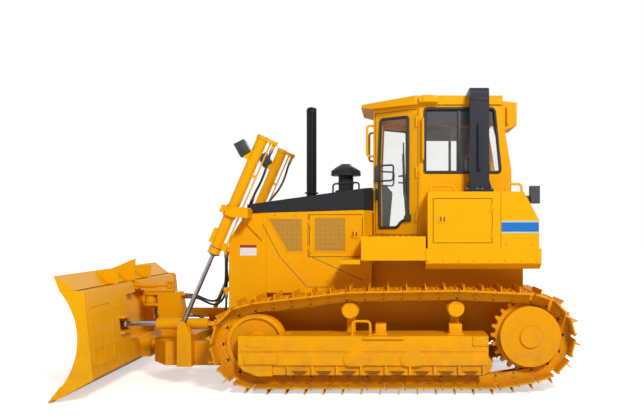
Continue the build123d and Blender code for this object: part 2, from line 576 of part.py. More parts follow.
with BuildPart() as precleaner:
    with BuildSketch(Plane.XZ):
        with BuildLine():
            Polyline(*[(CLEANER_X + r, z) for r, z in (
                (0, hood_z(CLEANER_X) - 35), (NECK_RADIUS, hood_z(CLEANER_X) - 35), (NECK_RADIUS, CAP_LOW_Z),
                (CAP_RADIUS, CAP_LOW_Z - 8), (CAP_RADIUS, CAP_LOW_Z + 22), (60, CAP_TOP_Z),
                (0, CAP_TOP_Z))], close=True)
        make_face()
    revolve(axis=Axis((CLEANER_X, 0, 0), (0, 0, 1)))
save(precleaner, "precleaner")

# ================================================================ cab
def cab_plan(inset):
    """The cab's six-sided plan, moved inwards by inset: (x, y)."""
    lean = atan2(CAB_HALF - CAB_FRONT_HALF, CAB_FRONT_X - CAB_CORNER_X)
    front = CAB_FRONT_HALF - inset * (1 - sin(lean)) / cos(lean)
    corner = CAB_CORNER_X - inset * (1 - cos(lean)) / sin(lean)
    half = [(CAB_FRONT_X - inset, front), (corner, CAB_HALF - inset), (-2100 + inset, CAB_HALF - inset)]
    return half + [(x, -y) for x, y in reversed(half)]


def cab_side(inset):
    """The cab seen from the side, moved inwards by inset: (x, z)."""
    return [(CAB_FRONT_X + 5 - inset, CAB_FLOOR_Z + inset), (CAB_FRONT_X + 5 - inset, CAB_TOP_Z - inset),
            (CAB_REAR_TOP_X + inset, CAB_TOP_Z - inset), (CAB_REAR_LOW_X + inset, 2316),
            (CAB_REAR_LOW_X + inset, CAB_FLOOR_Z + inset)]


door_length = hypot(CAB_FRONT_X - CAB_CORNER_X, CAB_HALF - CAB_FRONT_HALF)
door_along = Vector(CAB_CORNER_X - CAB_FRONT_X, CAB_HALF - CAB_FRONT_HALF, 0) / door_length
door_plane = Plane(origin=(CAB_FRONT_X, CAB_FRONT_HALF, 0), x_dir=door_along,
                   z_dir=Vector(door_along.Y, -door_along.X, 0))
DOOR_FRONT, DOOR_REAR = 34.0, 628.0           # along the angled wall from its front corner
DOOR_LOW_Z, DOOR_TOP_Z = 1627.0, 2965.0
DOOR_THICK = 42.0
DOOR_WINDOW = [(95, 1700), (345, 1700), (395, 1760), (500, 1800), (500, 2895), (110, 2895), (85, 2420)]
SIDE_WINDOW = [(-1012, 2290), (-1818, 2290), (-1752, 2968), (-1012, 2968)]
FRONT_WINDOW = (310.0, 2190.0, 2920.0)        # half width, lower edge, upper edge
REAR_WINDOW = (560.0, 2190.0, 2900.0)


def door_outline(points, low, high, mode=Mode.ADD, radius=0.0):
    """An outline on the left angled wall, from low to high along its outward normal."""
    with BuildSketch(door_plane.offset(low)) as outline:
        with BuildLine():
            Polyline(*points, close=True)
        make_face()
        if radius:
            fillet(outline.vertices(), radius)
    extrude(outline.sketch, amount=high - low, mode=mode)


def door_panel(margin):
    """The door's outline grown by a margin."""
    return [(DOOR_FRONT - margin, DOOR_LOW_Z - margin), (DOOR_REAR + margin, DOOR_LOW_Z - margin),
            (DOOR_REAR + margin, DOOR_TOP_Z + margin), (DOOR_FRONT - margin, DOOR_TOP_Z + margin)]


with BuildPart() as cab_inside:
    top_plate(cab_plan(CAB_WALL), CAB_FLOOR_Z + CAB_WALL, CAB_TOP_Z - CAB_WALL)
    side_plate(cab_side(CAB_WALL), -CAB_HALF, CAB_HALF, Mode.INTERSECT)

CAB_HINGES, CAB_HINGE_OUT, CAB_HINGE_RADIUS, CAB_HINGE_LENGTH = (1760.0, 2240.0, 2780.0), 12.0, 11.0, 55.0
CAB_HINGE_AT = DOOR_REAR - 3


def cab_hinge_half(toward, low):
    """Half a hinge on the left angled wall: a knuckle and its leaf, towards the rear (1) or front (-1)."""
    with BuildSketch(Plane.XY.offset(low)) as knuckle:
        with Locations((door_plane * Location((CAB_HINGE_AT, 0, CAB_HINGE_OUT))).position):
            Circle(CAB_HINGE_RADIUS)
    extrude(knuckle.sketch, amount=CAB_HINGE_LENGTH)
    near, far = sorted((CAB_HINGE_AT + toward * 5, CAB_HINGE_AT + toward * 26))
    high = low + CAB_HINGE_LENGTH
    door_outline([(near, low), (far, low), (far, high), (near, high)], 0, CAB_HINGE_OUT)


with BuildPart() as door_holes:
    door_outline(door_panel(DOOR_GAP), -CAB_WALL - 40, 30)
    mirror(about=Plane.XZ)

with BuildPart() as cab_frame:
    top_plate(cab_plan(0), CAB_FLOOR_Z, CAB_TOP_Z)
    side_plate(cab_side(0), -CAB_HALF - 1, CAB_HALF + 1, Mode.INTERSECT)
    add(cab_inside.part, mode=Mode.SUBTRACT)
    add(door_holes.part, mode=Mode.SUBTRACT)
    for low in CAB_HINGES:
        cab_hinge_half(1, low + CAB_HINGE_LENGTH + RUNNING_GAP)
    mirror(about=Plane.XZ)
    side_plate(SIDE_WINDOW, -CAB_HALF - 1, CAB_HALF + 1, Mode.SUBTRACT, 60)
    half, low, high = FRONT_WINDOW
    block((CAB_FRONT_X - 100, CAB_FRONT_X + 10), (-half, half), (low, high), Mode.SUBTRACT)
    half, low, high = REAR_WINDOW
    block((-2100, CAB_REAR_TOP_X + 70), (-half, half), (low, high), Mode.SUBTRACT)
save(cab_frame, "cab_frame")


def shrunk(points, gap):
    """A window's outline drawn in towards its middle by a gap on each side."""
    x_mid = (min(p[0] for p in points) + max(p[0] for p in points)) / 2
    z_mid = (min(p[1] for p in points) + max(p[1] for p in points)) / 2
    return [(x + (gap if x < x_mid else -gap), z + (gap if z < z_mid else -gap)) for x, z in points]


with BuildPart() as cab_glass:
    middle = CAB_HALF - CAB_WALL / 2
    side_plate(shrunk(SIDE_WINDOW, RUNNING_GAP), middle - GLASS / 2, middle + GLASS / 2, Mode.ADD, 60)
    mirror(about=Plane.XZ)
    half, low, high = FRONT_WINDOW
    block((CAB_FRONT_X - 28, CAB_FRONT_X - 22), (-half + RUNNING_GAP, half - RUNNING_GAP),
          (low + RUNNING_GAP, high - RUNNING_GAP))
    half, low, high = REAR_WINDOW
    rear_lean = (CAB_REAR_TOP_X - CAB_REAR_LOW_X) / (CAB_TOP_Z - 2316)
    pane = [(CAB_REAR_TOP_X + 22 - rear_lean * (CAB_TOP_Z - max(z, 2316)), z)
            for z in (high - RUNNING_GAP, 2316, low + RUNNING_GAP)]
    side_plate(pane + [(x + GLASS, z) for x, z in reversed(pane)], -half + RUNNING_GAP, half - RUNNING_GAP)
save(cab_glass, "cab_glass")

ROOF_SIDE = [(CAB_FRONT_X + 135, CAB_TOP_Z + 20), (CAB_FRONT_X + 125, CAB_TOP_Z + 55), (-900, ROOF_TOP_Z),
             (CAB_REAR_TOP_X - 20, ROOF_TOP_Z), (CAB_REAR_TOP_X - 20, CAB_TOP_Z),
             (CAB_FRONT_X + 5, CAB_TOP_Z)]
HOUSING_X, HOUSING_HALF = (-2060.0, CAB_REAR_TOP_X - 20.3), 330.0
HOUSING_Z = (CAB_TOP_Z - 220, ROOF_TOP_Z + 20)
with BuildPart() as cab_roof:
    top_plate([(CAB_FRONT_X + 150, CAB_FRONT_HALF + 20), (CAB_CORNER_X + 60, CAB_HALF + 26),
               (-2000, CAB_HALF + 26), (-2000, -CAB_HALF - 26), (CAB_CORNER_X + 60, -CAB_HALF - 26),
               (CAB_FRONT_X + 150, -CAB_FRONT_HALF - 20)], CAB_TOP_Z - 20, ROOF_TOP_Z + 20)
    side_plate(ROOF_SIDE, -CAB_HALF - 40, CAB_HALF + 40, Mode.INTERSECT)
    for side in (1, -1):
        block((-1105, -985), tuple(sorted((side * (CAB_HALF + 24), side * (CAB_HALF + 96)))),
              (CAB_TOP_Z + 20, CAB_TOP_Z + 90))
save(cab_roof, "cab_roof")

with BuildPart() as roof_housing:
    side_plate([(HOUSING_X[0], HOUSING_Z[0] + 60), (HOUSING_X[0], HOUSING_Z[1] - 20),
                (HOUSING_X[1] - 30, HOUSING_Z[1]), (HOUSING_X[1], HOUSING_Z[1] - 30),
                (HOUSING_X[1], CAB_TOP_Z - 20), (HOUSING_X[1] - 60, HOUSING_Z[0])],
               -HOUSING_HALF, HOUSING_HALF)
save(roof_housing, "roof_housing")

for side, name in ((1, "left"), (-1, "right")):
    with BuildPart() as cab_door:
        door_outline(door_panel(0), -DOOR_THICK, 0)
        door_outline(DOOR_WINDOW, -DOOR_THICK - 1, 1, Mode.SUBTRACT, 30)
        for low in CAB_HINGES:
            cab_hinge_half(-1, low)
        door_outline([(48, 2010), (78, 2010), (78, 2130), (48, 2130)], -1, 22)
        if side < 0:
            mirror(about=Plane.XZ, mode=Mode.REPLACE)
    save(cab_door, f"cab_door_{name}")
    with BuildPart() as door_glass:
        middle = -DOOR_THICK / 2
        door_outline(DOOR_WINDOW, middle - GLASS / 2, middle + GLASS / 2, Mode.ADD, 30)
        if side < 0:
            mirror(about=Plane.XZ, mode=Mode.REPLACE)
    save(door_glass, f"door_glass_{name}")

SEAT_X = -1350.0
with BuildPart() as seat:
    block((SEAT_X - 180, SEAT_X + 180), (-170, 170), (CAB_FLOOR_Z + CAB_WALL, 1830))
    block((SEAT_X - 260, SEAT_X + 260), (-250, 250), (1830, 1960))
    side_plate([(SEAT_X - 260, 1940), (SEAT_X - 140, 1940), (SEAT_X - 210, 2560), (SEAT_X - 310, 2560)],
               -240, 240)
save(seat, "seat")

with BuildPart() as cab_controls:
    side_plate([(-620, CAB_FLOOR_Z + CAB_WALL), (-506, CAB_FLOOR_Z + CAB_WALL), (-506, 2140), (-590, 2180),
                (-660, 2100)], -260, 260)
    for y in (-330, 330):
        block((SEAT_X - 200, SEAT_X + 330), (y - 60, y + 60), (CAB_FLOOR_Z + CAB_WALL, 2060))
        rod_between((SEAT_X + 270, y, 2050), (SEAT_X + 330, y, 2280), 14)
save(cab_controls, "cab_controls")

# ================================================================ roll-over arch
POST_X, POST_WIDTH = -1575.0, 200.0
ARCH_OUTER, ARCH_INNER, ARCH_TOP_Z, ARCH_BASE_Z = 1015.0, 905.0, ROOF_TOP_Z + 60, BOX_TOP_Z
with BuildPart() as rops_arch:
    with BuildSketch(Plane.YZ.offset(POST_X - POST_WIDTH / 2)) as outline:
        with BuildLine():
            Polyline((-ARCH_OUTER, ARCH_BASE_Z), (-ARCH_OUTER, ARCH_TOP_Z), (ARCH_OUTER, ARCH_TOP_Z),
                     (ARCH_OUTER, ARCH_BASE_Z), (ARCH_INNER, ARCH_BASE_Z), (ARCH_INNER, ROOF_TOP_Z + 6),
                     (-ARCH_INNER, ROOF_TOP_Z + 6), (-ARCH_INNER, ARCH_BASE_Z), close=True)
        make_face()
        fillet(outline.vertices().group_by(Axis.Y)[-1].sort_by(Axis.X), 60)
    extrude(amount=POST_WIDTH)
    for side in (1, -1):
        block((POST_X - 140, POST_X + 150),
              tuple(sorted((side * (ARCH_INNER - 60), side * (ARCH_OUTER + 50)))),
              (ARCH_BASE_Z, ARCH_BASE_Z + 30))
save(rops_arch, "rops_arch")

# ================================================================ side boxes, tank, steps
SIDE_OUTER = 1120.0
SPONSON_X, SPONSON_Z, SPONSON_BEVEL_Z = (-2203.0, -1012.0), (1331.0, 1484.0), 1270.0
BOX_X, BOX_WALL = (-1781.0, -1031.0), 12.0
BOX_DOOR_X, BOX_DOOR_Z = (-1690.0, -1090.0), (1545.0, 1995.0)
BOX_HINGE_X = BOX_DOOR_X[0] + 2
STEP_X, STEP_Z = (-1010.0, -345.0), (1360.0, 1609.0)
with BuildPart() as sponsons:
    front_plate([(HULL_HALF + 1, SPONSON_Z[1]), (SIDE_OUTER, SPONSON_Z[1]), (SIDE_OUTER, SPONSON_Z[0]),
                 (SIDE_OUTER - 110, SPONSON_BEVEL_Z), (HULL_HALF + 1, SPONSON_BEVEL_Z)], *SPONSON_X)
    inner = HOOD_HALF + RUNNING_GAP
    block(STEP_X, (inner, SIDE_OUTER - 10), STEP_Z)
    block((-335, -137), (inner, SIDE_OUTER - 30), (1320, 1366))
    block((STEP_X[1] - 115, -334), (inner, inner + 60), (1320, 1366))
    block((-1013, -1009), (inner, SIDE_OUTER - 10), STEP_Z)
    mirror(about=Plane.XZ)
save(sponsons, "sponsons")

with BuildPart() as side_boxes:
    block(BOX_X, (CAB_HALF + 6, SIDE_OUTER), (SPONSON_Z[1], BOX_TOP_Z))
    block((BOX_X[0] + BOX_WALL, BOX_X[1] - BOX_WALL), (CAB_HALF + 6 + BOX_WALL, SIDE_OUTER - BOX_WALL),
          (SPONSON_Z[1] + BOX_WALL, BOX_TOP_Z - BOX_WALL), Mode.SUBTRACT)
    block((BOX_DOOR_X[0] - DOOR_GAP, BOX_DOOR_X[1] + DOOR_GAP), (SIDE_OUTER - 20, SIDE_OUTER + 1),
          (BOX_DOOR_Z[0] - DOOR_GAP, BOX_DOOR_Z[1] + DOOR_GAP), Mode.SUBTRACT)
    for low in (BOX_DOOR_Z[0] + 50, BOX_DOOR_Z[1] - 140):
        hinge_half(BOX_HINGE_X, SIDE_OUTER, -1, low + HINGE_LENGTH + RUNNING_GAP)
    mirror(about=Plane.XZ)
save(side_boxes, "side_boxes")

for side, name in ((1, "left"), (-1, "right")):
    with BuildPart() as box_door:
        block(BOX_DOOR_X, (SIDE_OUTER - 8, SIDE_OUTER), BOX_DOOR_Z)
        for low in (BOX_DOOR_Z[0] + 50, BOX_DOOR_Z[1] - 140):
            hinge_half(BOX_HINGE_X, SIDE_OUTER, 1, low)
        block((BOX_DOOR_X[1] - 80, BOX_DOOR_X[1] - 25), (SIDE_OUTER, SIDE_OUTER + 6), (1750, 1800))
        if side < 0:
            mirror(about=Plane.XZ, mode=Mode.REPLACE)
    save(box_door, f"box_door_{name}")

TANK_FRONT_X, TANK_REAR_X, TANK_TOP_REAR_X, TANK_SLOPE_Z = -1785.0, -2177.0, -2019.0, 1777.0
with BuildPart() as fuel_tank:
    side_plate([(TANK_FRONT_X, SPONSON_Z[1]), (TANK_REAR_X, SPONSON_Z[1]), (TANK_REAR_X, TANK_SLOPE_Z),
                (TANK_TOP_REAR_X, BOX_TOP_Z), (TANK_FRONT_X, BOX_TOP_Z)], -SIDE_OUTER, SIDE_OUTER)
    block((-1990, TANK_FRONT_X + 1), (-CAB_HALF - 6, CAB_HALF + 6), (SPONSON_Z[1] - 1, BOX_TOP_Z + 1),
          Mode.SUBTRACT)
    block((HULL_REAR_X - 0.3, TANK_FRONT_X + 1), (-HULL_HALF - 1, HULL_HALF + 1),
          (SPONSON_Z[1] - 1, HULL_TOP_Z + 0.3), Mode.SUBTRACT)
save(fuel_tank, "fuel_tank")


LAMP_X, LAMP_Z, LAMP_Y = (-2190.0, -2095.0), (1950.0, 2130.0), 1030.0


def tank_slope_x(z):
    """Where the tank's sloped rear face lies at a height."""
    share = (BOX_TOP_Z - z) / (BOX_TOP_Z - TANK_SLOPE_Z)
    return TANK_TOP_REAR_X + share * (TANK_REAR_X - TANK_TOP_REAR_X)


with BuildPart() as rear_lamps:
    block(LAMP_X, (LAMP_Y - 60, LAMP_Y + 60), LAMP_Z)
    side_plate([(LAMP_X[1] - 1, 1962), (tank_slope_x(1962) - RUNNING_GAP, 1962),
                (tank_slope_x(2031) - RUNNING_GAP, 2031), (LAMP_X[1] - 1, 2031)], LAMP_Y - 20, LAMP_Y + 20)
    mirror(about=Plane.XZ)
save(rear_lamps, "rear_lamps")

HANDLE_RADIUS = 13.0
with BuildPart() as handrails:
    tube_handle([(-1060, 1090, BOX_TOP_Z), (-1060, 1090, 2135), (-1310, 1090, 2135),
                 (-1310, 1090, BOX_TOP_Z)],
                HANDLE_RADIUS, 40)
    tube_handle([(-1840, 1090, BOX_TOP_Z), (-1840, 1090, 2150), (-2000, 1090, 2150),
                 (-2000, 1090, BOX_TOP_Z)],
                HANDLE_RADIUS, 40)
    for x, y, reach, low, high in ((CAB_CORNER_X - 30, CAB_HALF + 0.3, (0, 60), 2420, 2860),
                                   (CAB_FRONT_X + 0.3, 350, (70, 0), 2500, 2840)):
        tube_handle([(x, y, low), (x + reach[0], y + reach[1], low), (x + reach[0], y + reach[1], high),
                     (x, y, high)], HANDLE_RADIUS, 30)
    mirror(about=Plane.XZ)
save(handrails, "handrails")

# ================================================================ lift cylinders
def cylinder_barrel(start, end, radius, bore, rod, gland=30.0, cap=20.0):
    """A closed barrel from start to end with its gland at the end, in the active part."""
    axis = (end - start).normalized()
    rod_between(start, end, radius)
    rod_between(start + axis * cap, end - axis * gland, bore, Mode.SUBTRACT)
    rod_between(end - axis * (gland + 1), end + axis, rod, Mode.SUBTRACT)


def cylinder_rod(start, end, radius, piston_radius, piston):
    """A rod from its piston at start to its eye's centre at end, in the active part."""
    axis = (end - start).normalized()
    rod_between(start, end, radius)
    rod_between(start, start + axis * piston, piston_radius)


lift_back = Vector(-lift_down.Z, 0, lift_down.X) * (-1 if lift_down.Z < 0 else 1)
PIPE_OFFSET, PIPE_RADIUS = 98.0, 9.0          # the pipe behind the barrel
HOSE_OFFSET = 140.0                           # the hose's fitting, under the far end of the cap
LAMP_TURN, LAMP_HALF = -28.0, (54.0, 74.0)
LAMP_X_Z = (931.0, 2553.0)
LAMP_BRACKET = [(952, 2478), (808, 2365), (760, 2440), (745, 2500), (790, 2560), (845, 2521)]


def on_barrel(along, out):
    """A point in the cylinder's plane: along the barrel from its top, and out behind it."""
    point = barrel_top + lift_down * along + lift_back * out
    return point.X, point.Z


def barrel_lug(first, last, near, far, half):
    """A lug beside the barrel, from first to last along it and near to far behind its axis."""
    side_plate([on_barrel(first, near), on_barrel(first, far), on_barrel(last, far), on_barrel(last, near)],
               LIFT_Y - half, LIFT_Y + half)


for side, name in ((1, "left"), (-1, "right")):
    with BuildPart() as lift_barrel:
        # cap, gland and trunnion clamp, then the pipe with its lugs
        rod_between(barrel_top, barrel_top + lift_down * 40, BARREL_RADIUS + 6)
        rod_between(barrel_end - lift_down * 75, barrel_end, BARREL_RADIUS + 7)
        rod_between(trunnion - lift_down * 62, trunnion + lift_down * 62, CLAMP_RADIUS)
        barrel_lug(2, 40, 0, HOSE_OFFSET + 26, 34)
        hose_start, hose_next = Vector(*LIFT_HOSE[0]), Vector(*LIFT_HOSE[1])
        rod_between(hose_start - (hose_next - hose_start).normalized() * 60, hose_start, PORT_RADIUS)
        barrel_lug(1215, 1300, 0, PIPE_OFFSET + 14, 24)
        barrel_lug(420, 450, 0, PIPE_OFFSET, 14)
        barrel_lug(1100, 1260, -BARREL_RADIUS - 34, 0, 30)
        barrel_lug(BARREL_ABOVE - 40, BARREL_ABOVE + 40, -CLAMP_RADIUS - 38, 0, 52)
        rod_between(barrel_top + lift_down * 38 + lift_back * PIPE_OFFSET,
                    barrel_top + lift_down * 1216 + lift_back * PIPE_OFFSET, PIPE_RADIUS)
        # work lamp on its bracket
        side_plate(LAMP_BRACKET, LIFT_Y - 42, LIFT_Y + 42)
        with BuildSketch(Plane.XZ.offset(-LIFT_Y - 66)) as lamp:
            with Locations(LAMP_X_Z):
                Rectangle(2 * LAMP_HALF[0], 2 * LAMP_HALF[1], rotation=LAMP_TURN)
        extrude(lamp.sketch, amount=132)
        for low, high in ((LIFT_Y - 98, LIFT_Y - BARREL_RADIUS + 4),
                          (LIFT_Y + BARREL_RADIUS - 4, LIFT_Y + 98)):
            disc_y(TRUNNION_X, TRUNNION_Z, TRUNNION_RADIUS, low, high)
        cylinder_barrel(barrel_top, barrel_end, BARREL_RADIUS, BARREL_RADIUS - WALL, ROD_RADIUS + 0.1)
        if side < 0:
            mirror(about=Plane.XZ, mode=Mode.REPLACE)
    save(lift_barrel, f"lift_barrel_{name}")
    with BuildPart() as lift_rod:
        cylinder_rod(barrel_end - lift_down * ROD_INSIDE, lift_eye, ROD_RADIUS, BARREL_RADIUS - WALL - 1,
                     PISTON)
        disc_y(LIFT_EYE_X, LIFT_EYE_Z, 48, LIFT_Y - LIFT_EYE_HALF, LIFT_Y + LIFT_EYE_HALF)
        if side < 0:
            mirror(about=Plane.XZ, mode=Mode.REPLACE)
    save(lift_rod, f"lift_rod_{name}")

# ================================================================ push frame
EYE_GAP = 2.0
CROSS_REAR_X, CORNER_X, NOSE_X, NOSE_HALF = 1560.0, 1800.0, 2000.0, 350.0
TOWER_X, TOWER_HALF = (1790.0, 2045.0), 88.0
JAW_LOW_Z, JAW_TOP_Z, JAW_THICK = 800.0, 925.0, 30.0
JAW_HALF, SWIVEL_PIN = 88.0, 32.0
LIFT_BRACKET = [(-110, 300), (46, 300), (46, 620), (30, 680), (-10, 700), (-45, 680), (-104, 560)]
with BuildPart() as c_frame:
    for side in (1, -1):
        low, high = sorted((side * ARM_INNER_Y, side * ARM_OUTER_Y))
        side_plate([(-430, 360), (-380, 345), (-250, 345), (60, ARM_LOW_Z), (CORNER_X, ARM_LOW_Z),
                    (CORNER_X, ARM_TOP_Z), (0, ARM_TOP_Z), (-250, 515), (-380, 515), (-430, 500)], low, high)
        disc_y(PIVOT_X, PIVOT_Z, PIVOT_PIN + 0.08, low - 1, high + 1, Mode.SUBTRACT)
    top_plate([(CROSS_REAR_X - 60, ARM_INNER_Y + 1), (CORNER_X, ARM_OUTER_Y), (NOSE_X, NOSE_HALF),
               (NOSE_X, -NOSE_HALF), (CORNER_X, -ARM_OUTER_Y), (CROSS_REAR_X - 60, -ARM_INNER_Y - 1),
               (CROSS_REAR_X + 60, -300), (CROSS_REAR_X + 60, 300)], ARM_LOW_Z, ARM_TOP_Z)
    rod_between((NOSE_X - 5, 0, BALL_Z), (BALL_X - 20, 0, BALL_Z), 34)
    with Locations((BALL_X, 0, BALL_Z)):
        Sphere(BALL_RADIUS)
    side_plate([(TOWER_X[0] - 90, ARM_TOP_Z - 1), (NOSE_X - 5, ARM_TOP_Z - 1), (TOWER_X[1], JAW_LOW_Z - 60),
                (TOWER_X[1], JAW_TOP_Z + JAW_THICK), (TOWER_X[0], JAW_TOP_Z + JAW_THICK)], -TOWER_HALF,
                TOWER_HALF)
    for low in (JAW_LOW_Z, JAW_TOP_Z):
        block((TOWER_X[1] - 1, BALL_X), (-JAW_HALF, JAW_HALF), (low, low + JAW_THICK))
        disc_z(BALL_X, 0, JAW_HALF, low, low + JAW_THICK)
        disc_z(BALL_X, 0, SWIVEL_PIN + 0.06, low - 1, low + JAW_THICK + 1, Mode.SUBTRACT)
    for x, y, z in TOWER_PORTS:
        rod_between((x + 65, y, z), (x, y, z), PORT_RADIUS)
    for side in (1, -1):
        for low, high in ((LIFT_Y - LIFT_EARS, LIFT_Y - LIFT_EYE_HALF - EYE_GAP),
                          (LIFT_Y + LIFT_EYE_HALF + EYE_GAP, LIFT_Y + LIFT_EARS)):
            plate = sorted((side * low, side * high))
            side_plate([(LIFT_EYE_X + dx, z) for dx, z in LIFT_BRACKET], *plate)
        plate = sorted((side * (ARM_OUTER_Y - 1), side * (LIFT_Y + LIFT_EARS)))
        side_plate([(LIFT_EYE_X - 110, 215), (LIFT_EYE_X + 46, 215), (LIFT_EYE_X + 46, 560),
                    (LIFT_EYE_X - 104, 560)], *plate)
    for side in (1, -1):
        y = side * ANGLE_Y
        block((ANGLE_PIVOT_X - 60, ANGLE_PIVOT_X + 45), (y - 38, y + 38), (ARM_TOP_Z - 1, ANGLE_Z - 40))
        block((ANGLE_PIVOT_X - 60, ANGLE_PIVOT_X - 46), (y - 38, y + 38), (ANGLE_Z - 41, ANGLE_Z + 40))
        block((ANGLE_PIVOT_X - 60, ANGLE_PIVOT_X + 36), (y - 38, y + 38), (ANGLE_Z + 26, ANGLE_Z + 40))
        disc_z(ANGLE_PIVOT_X, y, 14.06, ANGLE_Z - 60, ANGLE_Z + 41, Mode.SUBTRACT)
save(c_frame, "c_frame")

# ================================================================ swivel, tilt cylinder, pitch link
TILT_BARREL, TILT_ROD, TILT_EYE = 50.0, 22.0, 36.0
with BuildPart() as blade_swivel:
    disc_z(BALL_X, 0, SWIVEL_PIN, JAW_LOW_Z - 4, LINK_Z - 55)
    disc_z(BALL_X, 0, 66, JAW_LOW_Z + JAW_THICK + 3, JAW_TOP_Z - 3)
    for x in (BALL_X - 44, BALL_X + 24):
        block((x, x + 20), (TILT_ROOT_Y - 34, 0), (TILT_Z - 32, TILT_Z + 32))
    rod_between((BALL_X - 44, TILT_ROOT_Y, TILT_Z), (BALL_X + 44, TILT_ROOT_Y, TILT_Z), 14)
    block((LINK_REAR_X - 50, BALL_X + 60), (-55, 55), (LINK_Z - 70, LINK_Z - 40))
    block((LINK_REAR_X - 50, LINK_REAR_X + 45), (-42, 42), (LINK_Z + 35, LINK_Z + 55))
    block((LINK_REAR_X - 50, LINK_REAR_X - 36), (-42, 42), (LINK_Z - 41, LINK_Z + 36))
    disc_z(LINK_REAR_X, 0, 16, LINK_Z - 41, LINK_Z + 36)
save(blade_swivel, "blade_swivel")

with BuildPart() as pitch_link:
    disc_z(LINK_REAR_X, 0, 32, LINK_Z - 28, LINK_Z + 28)
    rod_between((LINK_REAR_X + 10, 0, LINK_Z), (LINK_FRONT_X - 10, 0, LINK_Z), 19)
    rod_between((LINK_REAR_X + 150, 0, LINK_Z), (LINK_FRONT_X - 150, 0, LINK_Z), 30)
    disc_z(LINK_FRONT_X, 0, 32, LINK_Z - 28, LINK_Z + 28)
    disc_z(LINK_REAR_X, 0, 16.06, LINK_Z - 60, LINK_Z + 60, Mode.SUBTRACT)
save(pitch_link, "pitch_link")

tilt_root = Vector(BALL_X, TILT_ROOT_Y, TILT_Z)
tilt_eye = Vector(BALL_X, TILT_EYE_Y, TILT_Z)
tilt_axis = (tilt_eye - tilt_root).normalized()
with BuildPart() as tilt_barrel:
    cylinder_barrel(tilt_root + tilt_axis * 50, tilt_root + tilt_axis * 560, TILT_BARREL, TILT_BARREL - WALL,
                    TILT_ROD + 0.1)
    rod_between((BALL_X - 22, TILT_ROOT_Y, TILT_Z), (BALL_X + 22, TILT_ROOT_Y, TILT_Z), 30)
    block((BALL_X - 22, BALL_X + 22), (TILT_ROOT_Y - 55, TILT_ROOT_Y), (TILT_Z - 26, TILT_Z + 26))
    rod_between((BALL_X - 23, TILT_ROOT_Y, TILT_Z), (BALL_X + 23, TILT_ROOT_Y, TILT_Z), 14.06, Mode.SUBTRACT)
save(tilt_barrel, "tilt_barrel")
with BuildPart() as tilt_rod:
    cylinder_rod(tilt_root + tilt_axis * 330, tilt_eye, TILT_ROD, TILT_BARREL - WALL - 1, 30)
    rod_between((BALL_X - 24, TILT_EYE_Y, TILT_Z), (BALL_X + 24, TILT_EYE_Y, TILT_Z), TILT_EYE)
save(tilt_rod, "tilt_rod")

# ================================================================ angle cylinders
ANGLE_BARREL, ANGLE_ROD, ANGLE_EYE = 60.0, 26.0, 42.0
KNUCKLE_BALL = 27.0
for side, name in ((1, "left"), (-1, "right")):
    y = side * ANGLE_Y
    with BuildPart() as angle_knuckle:
        with Locations((ANGLE_PIVOT_X, y, ANGLE_Z)):
            Sphere(KNUCKLE_BALL)
        disc_z(ANGLE_PIVOT_X, y, 14, ANGLE_Z - 50, ANGLE_Z + 40)
    save(angle_knuckle, f"angle_knuckle_{name}")
    with BuildPart() as angle_barrel:
        cylinder_barrel(Vector(ANGLE_PIVOT_X + 105, y, ANGLE_Z), Vector(ANGLE_PIVOT_X + 660, y, ANGLE_Z),
                        ANGLE_BARREL, ANGLE_BARREL - WALL, ANGLE_ROD + 0.1, 12.0, 10.0)
        disc_z(ANGLE_PIVOT_X, y, 42, ANGLE_Z - 20, ANGLE_Z + 20)
        block((ANGLE_PIVOT_X, ANGLE_PIVOT_X + 106), (y - 30, y + 30), (ANGLE_Z - 20, ANGLE_Z + 20))
        with Locations((ANGLE_PIVOT_X, y, ANGLE_Z)):
            Sphere(KNUCKLE_BALL + 0.3, mode=Mode.SUBTRACT)
    save(angle_barrel, f"angle_barrel_{name}")
    with BuildPart() as angle_rod:
        cylinder_rod(Vector(ANGLE_EYE_X - 640, y, ANGLE_Z), Vector(ANGLE_EYE_X, y, ANGLE_Z), ANGLE_ROD,
                     ANGLE_BARREL - WALL - 1, 14)
        disc_z(ANGLE_EYE_X, y, ANGLE_EYE, ANGLE_Z - 25, ANGLE_Z + 25)
    save(angle_rod, f"angle_rod_{name}")

# ================================================================ blade
ARC_TOP, ARC_MIDDLE, ARC_LOW = (2543.0, 1089.0), (2368.0, 616.0), (2541.0, 134.0)
BACK = [(2322.0, 1075.0), (2275.0, 850.0), (2250.0, 620.0), (2238.0, 440.0), (2228.0, 232.0)]
EDGE_TOP = (2535.0, 160.0)
SKIN = 24.0
POCKET_HALF, POCKET_LOW_Z, POCKET_TOP_Z = 440.0, 450.0, 960.0
END_PLATE = 28.0
LINK_NOTCH = 110.0
POCKET_RISE, EAR_INSIDE = 96.0, 72.0
arc_chord = hypot(ARC_TOP[0] - ARC_LOW[0], ARC_TOP[1] - ARC_LOW[1])
arc_depth = (ARC_TOP[0] + ARC_LOW[0]) / 2 - ARC_MIDDLE[0]
arc_radius = (arc_chord ** 2 / 4 + arc_depth ** 2) / (2 * arc_depth)
arc_x = ARC_MIDDLE[0] + arc_radius
arc_z = (ARC_TOP[1] + ARC_LOW[1]) / 2


def blade_section(back, y_low, y_high):
    """The blade's section: the rolled face, then round the back outline, from y_low to y_high."""
    with BuildSketch(Plane.XZ.offset(-y_high)) as outline:
        with BuildLine():
            ThreePointArc(ARC_TOP, ARC_MIDDLE, ARC_LOW)
            Polyline(ARC_LOW, *reversed(back), ARC_TOP)
        make_face()
    extrude(outline.sketch, amount=y_high - y_low)


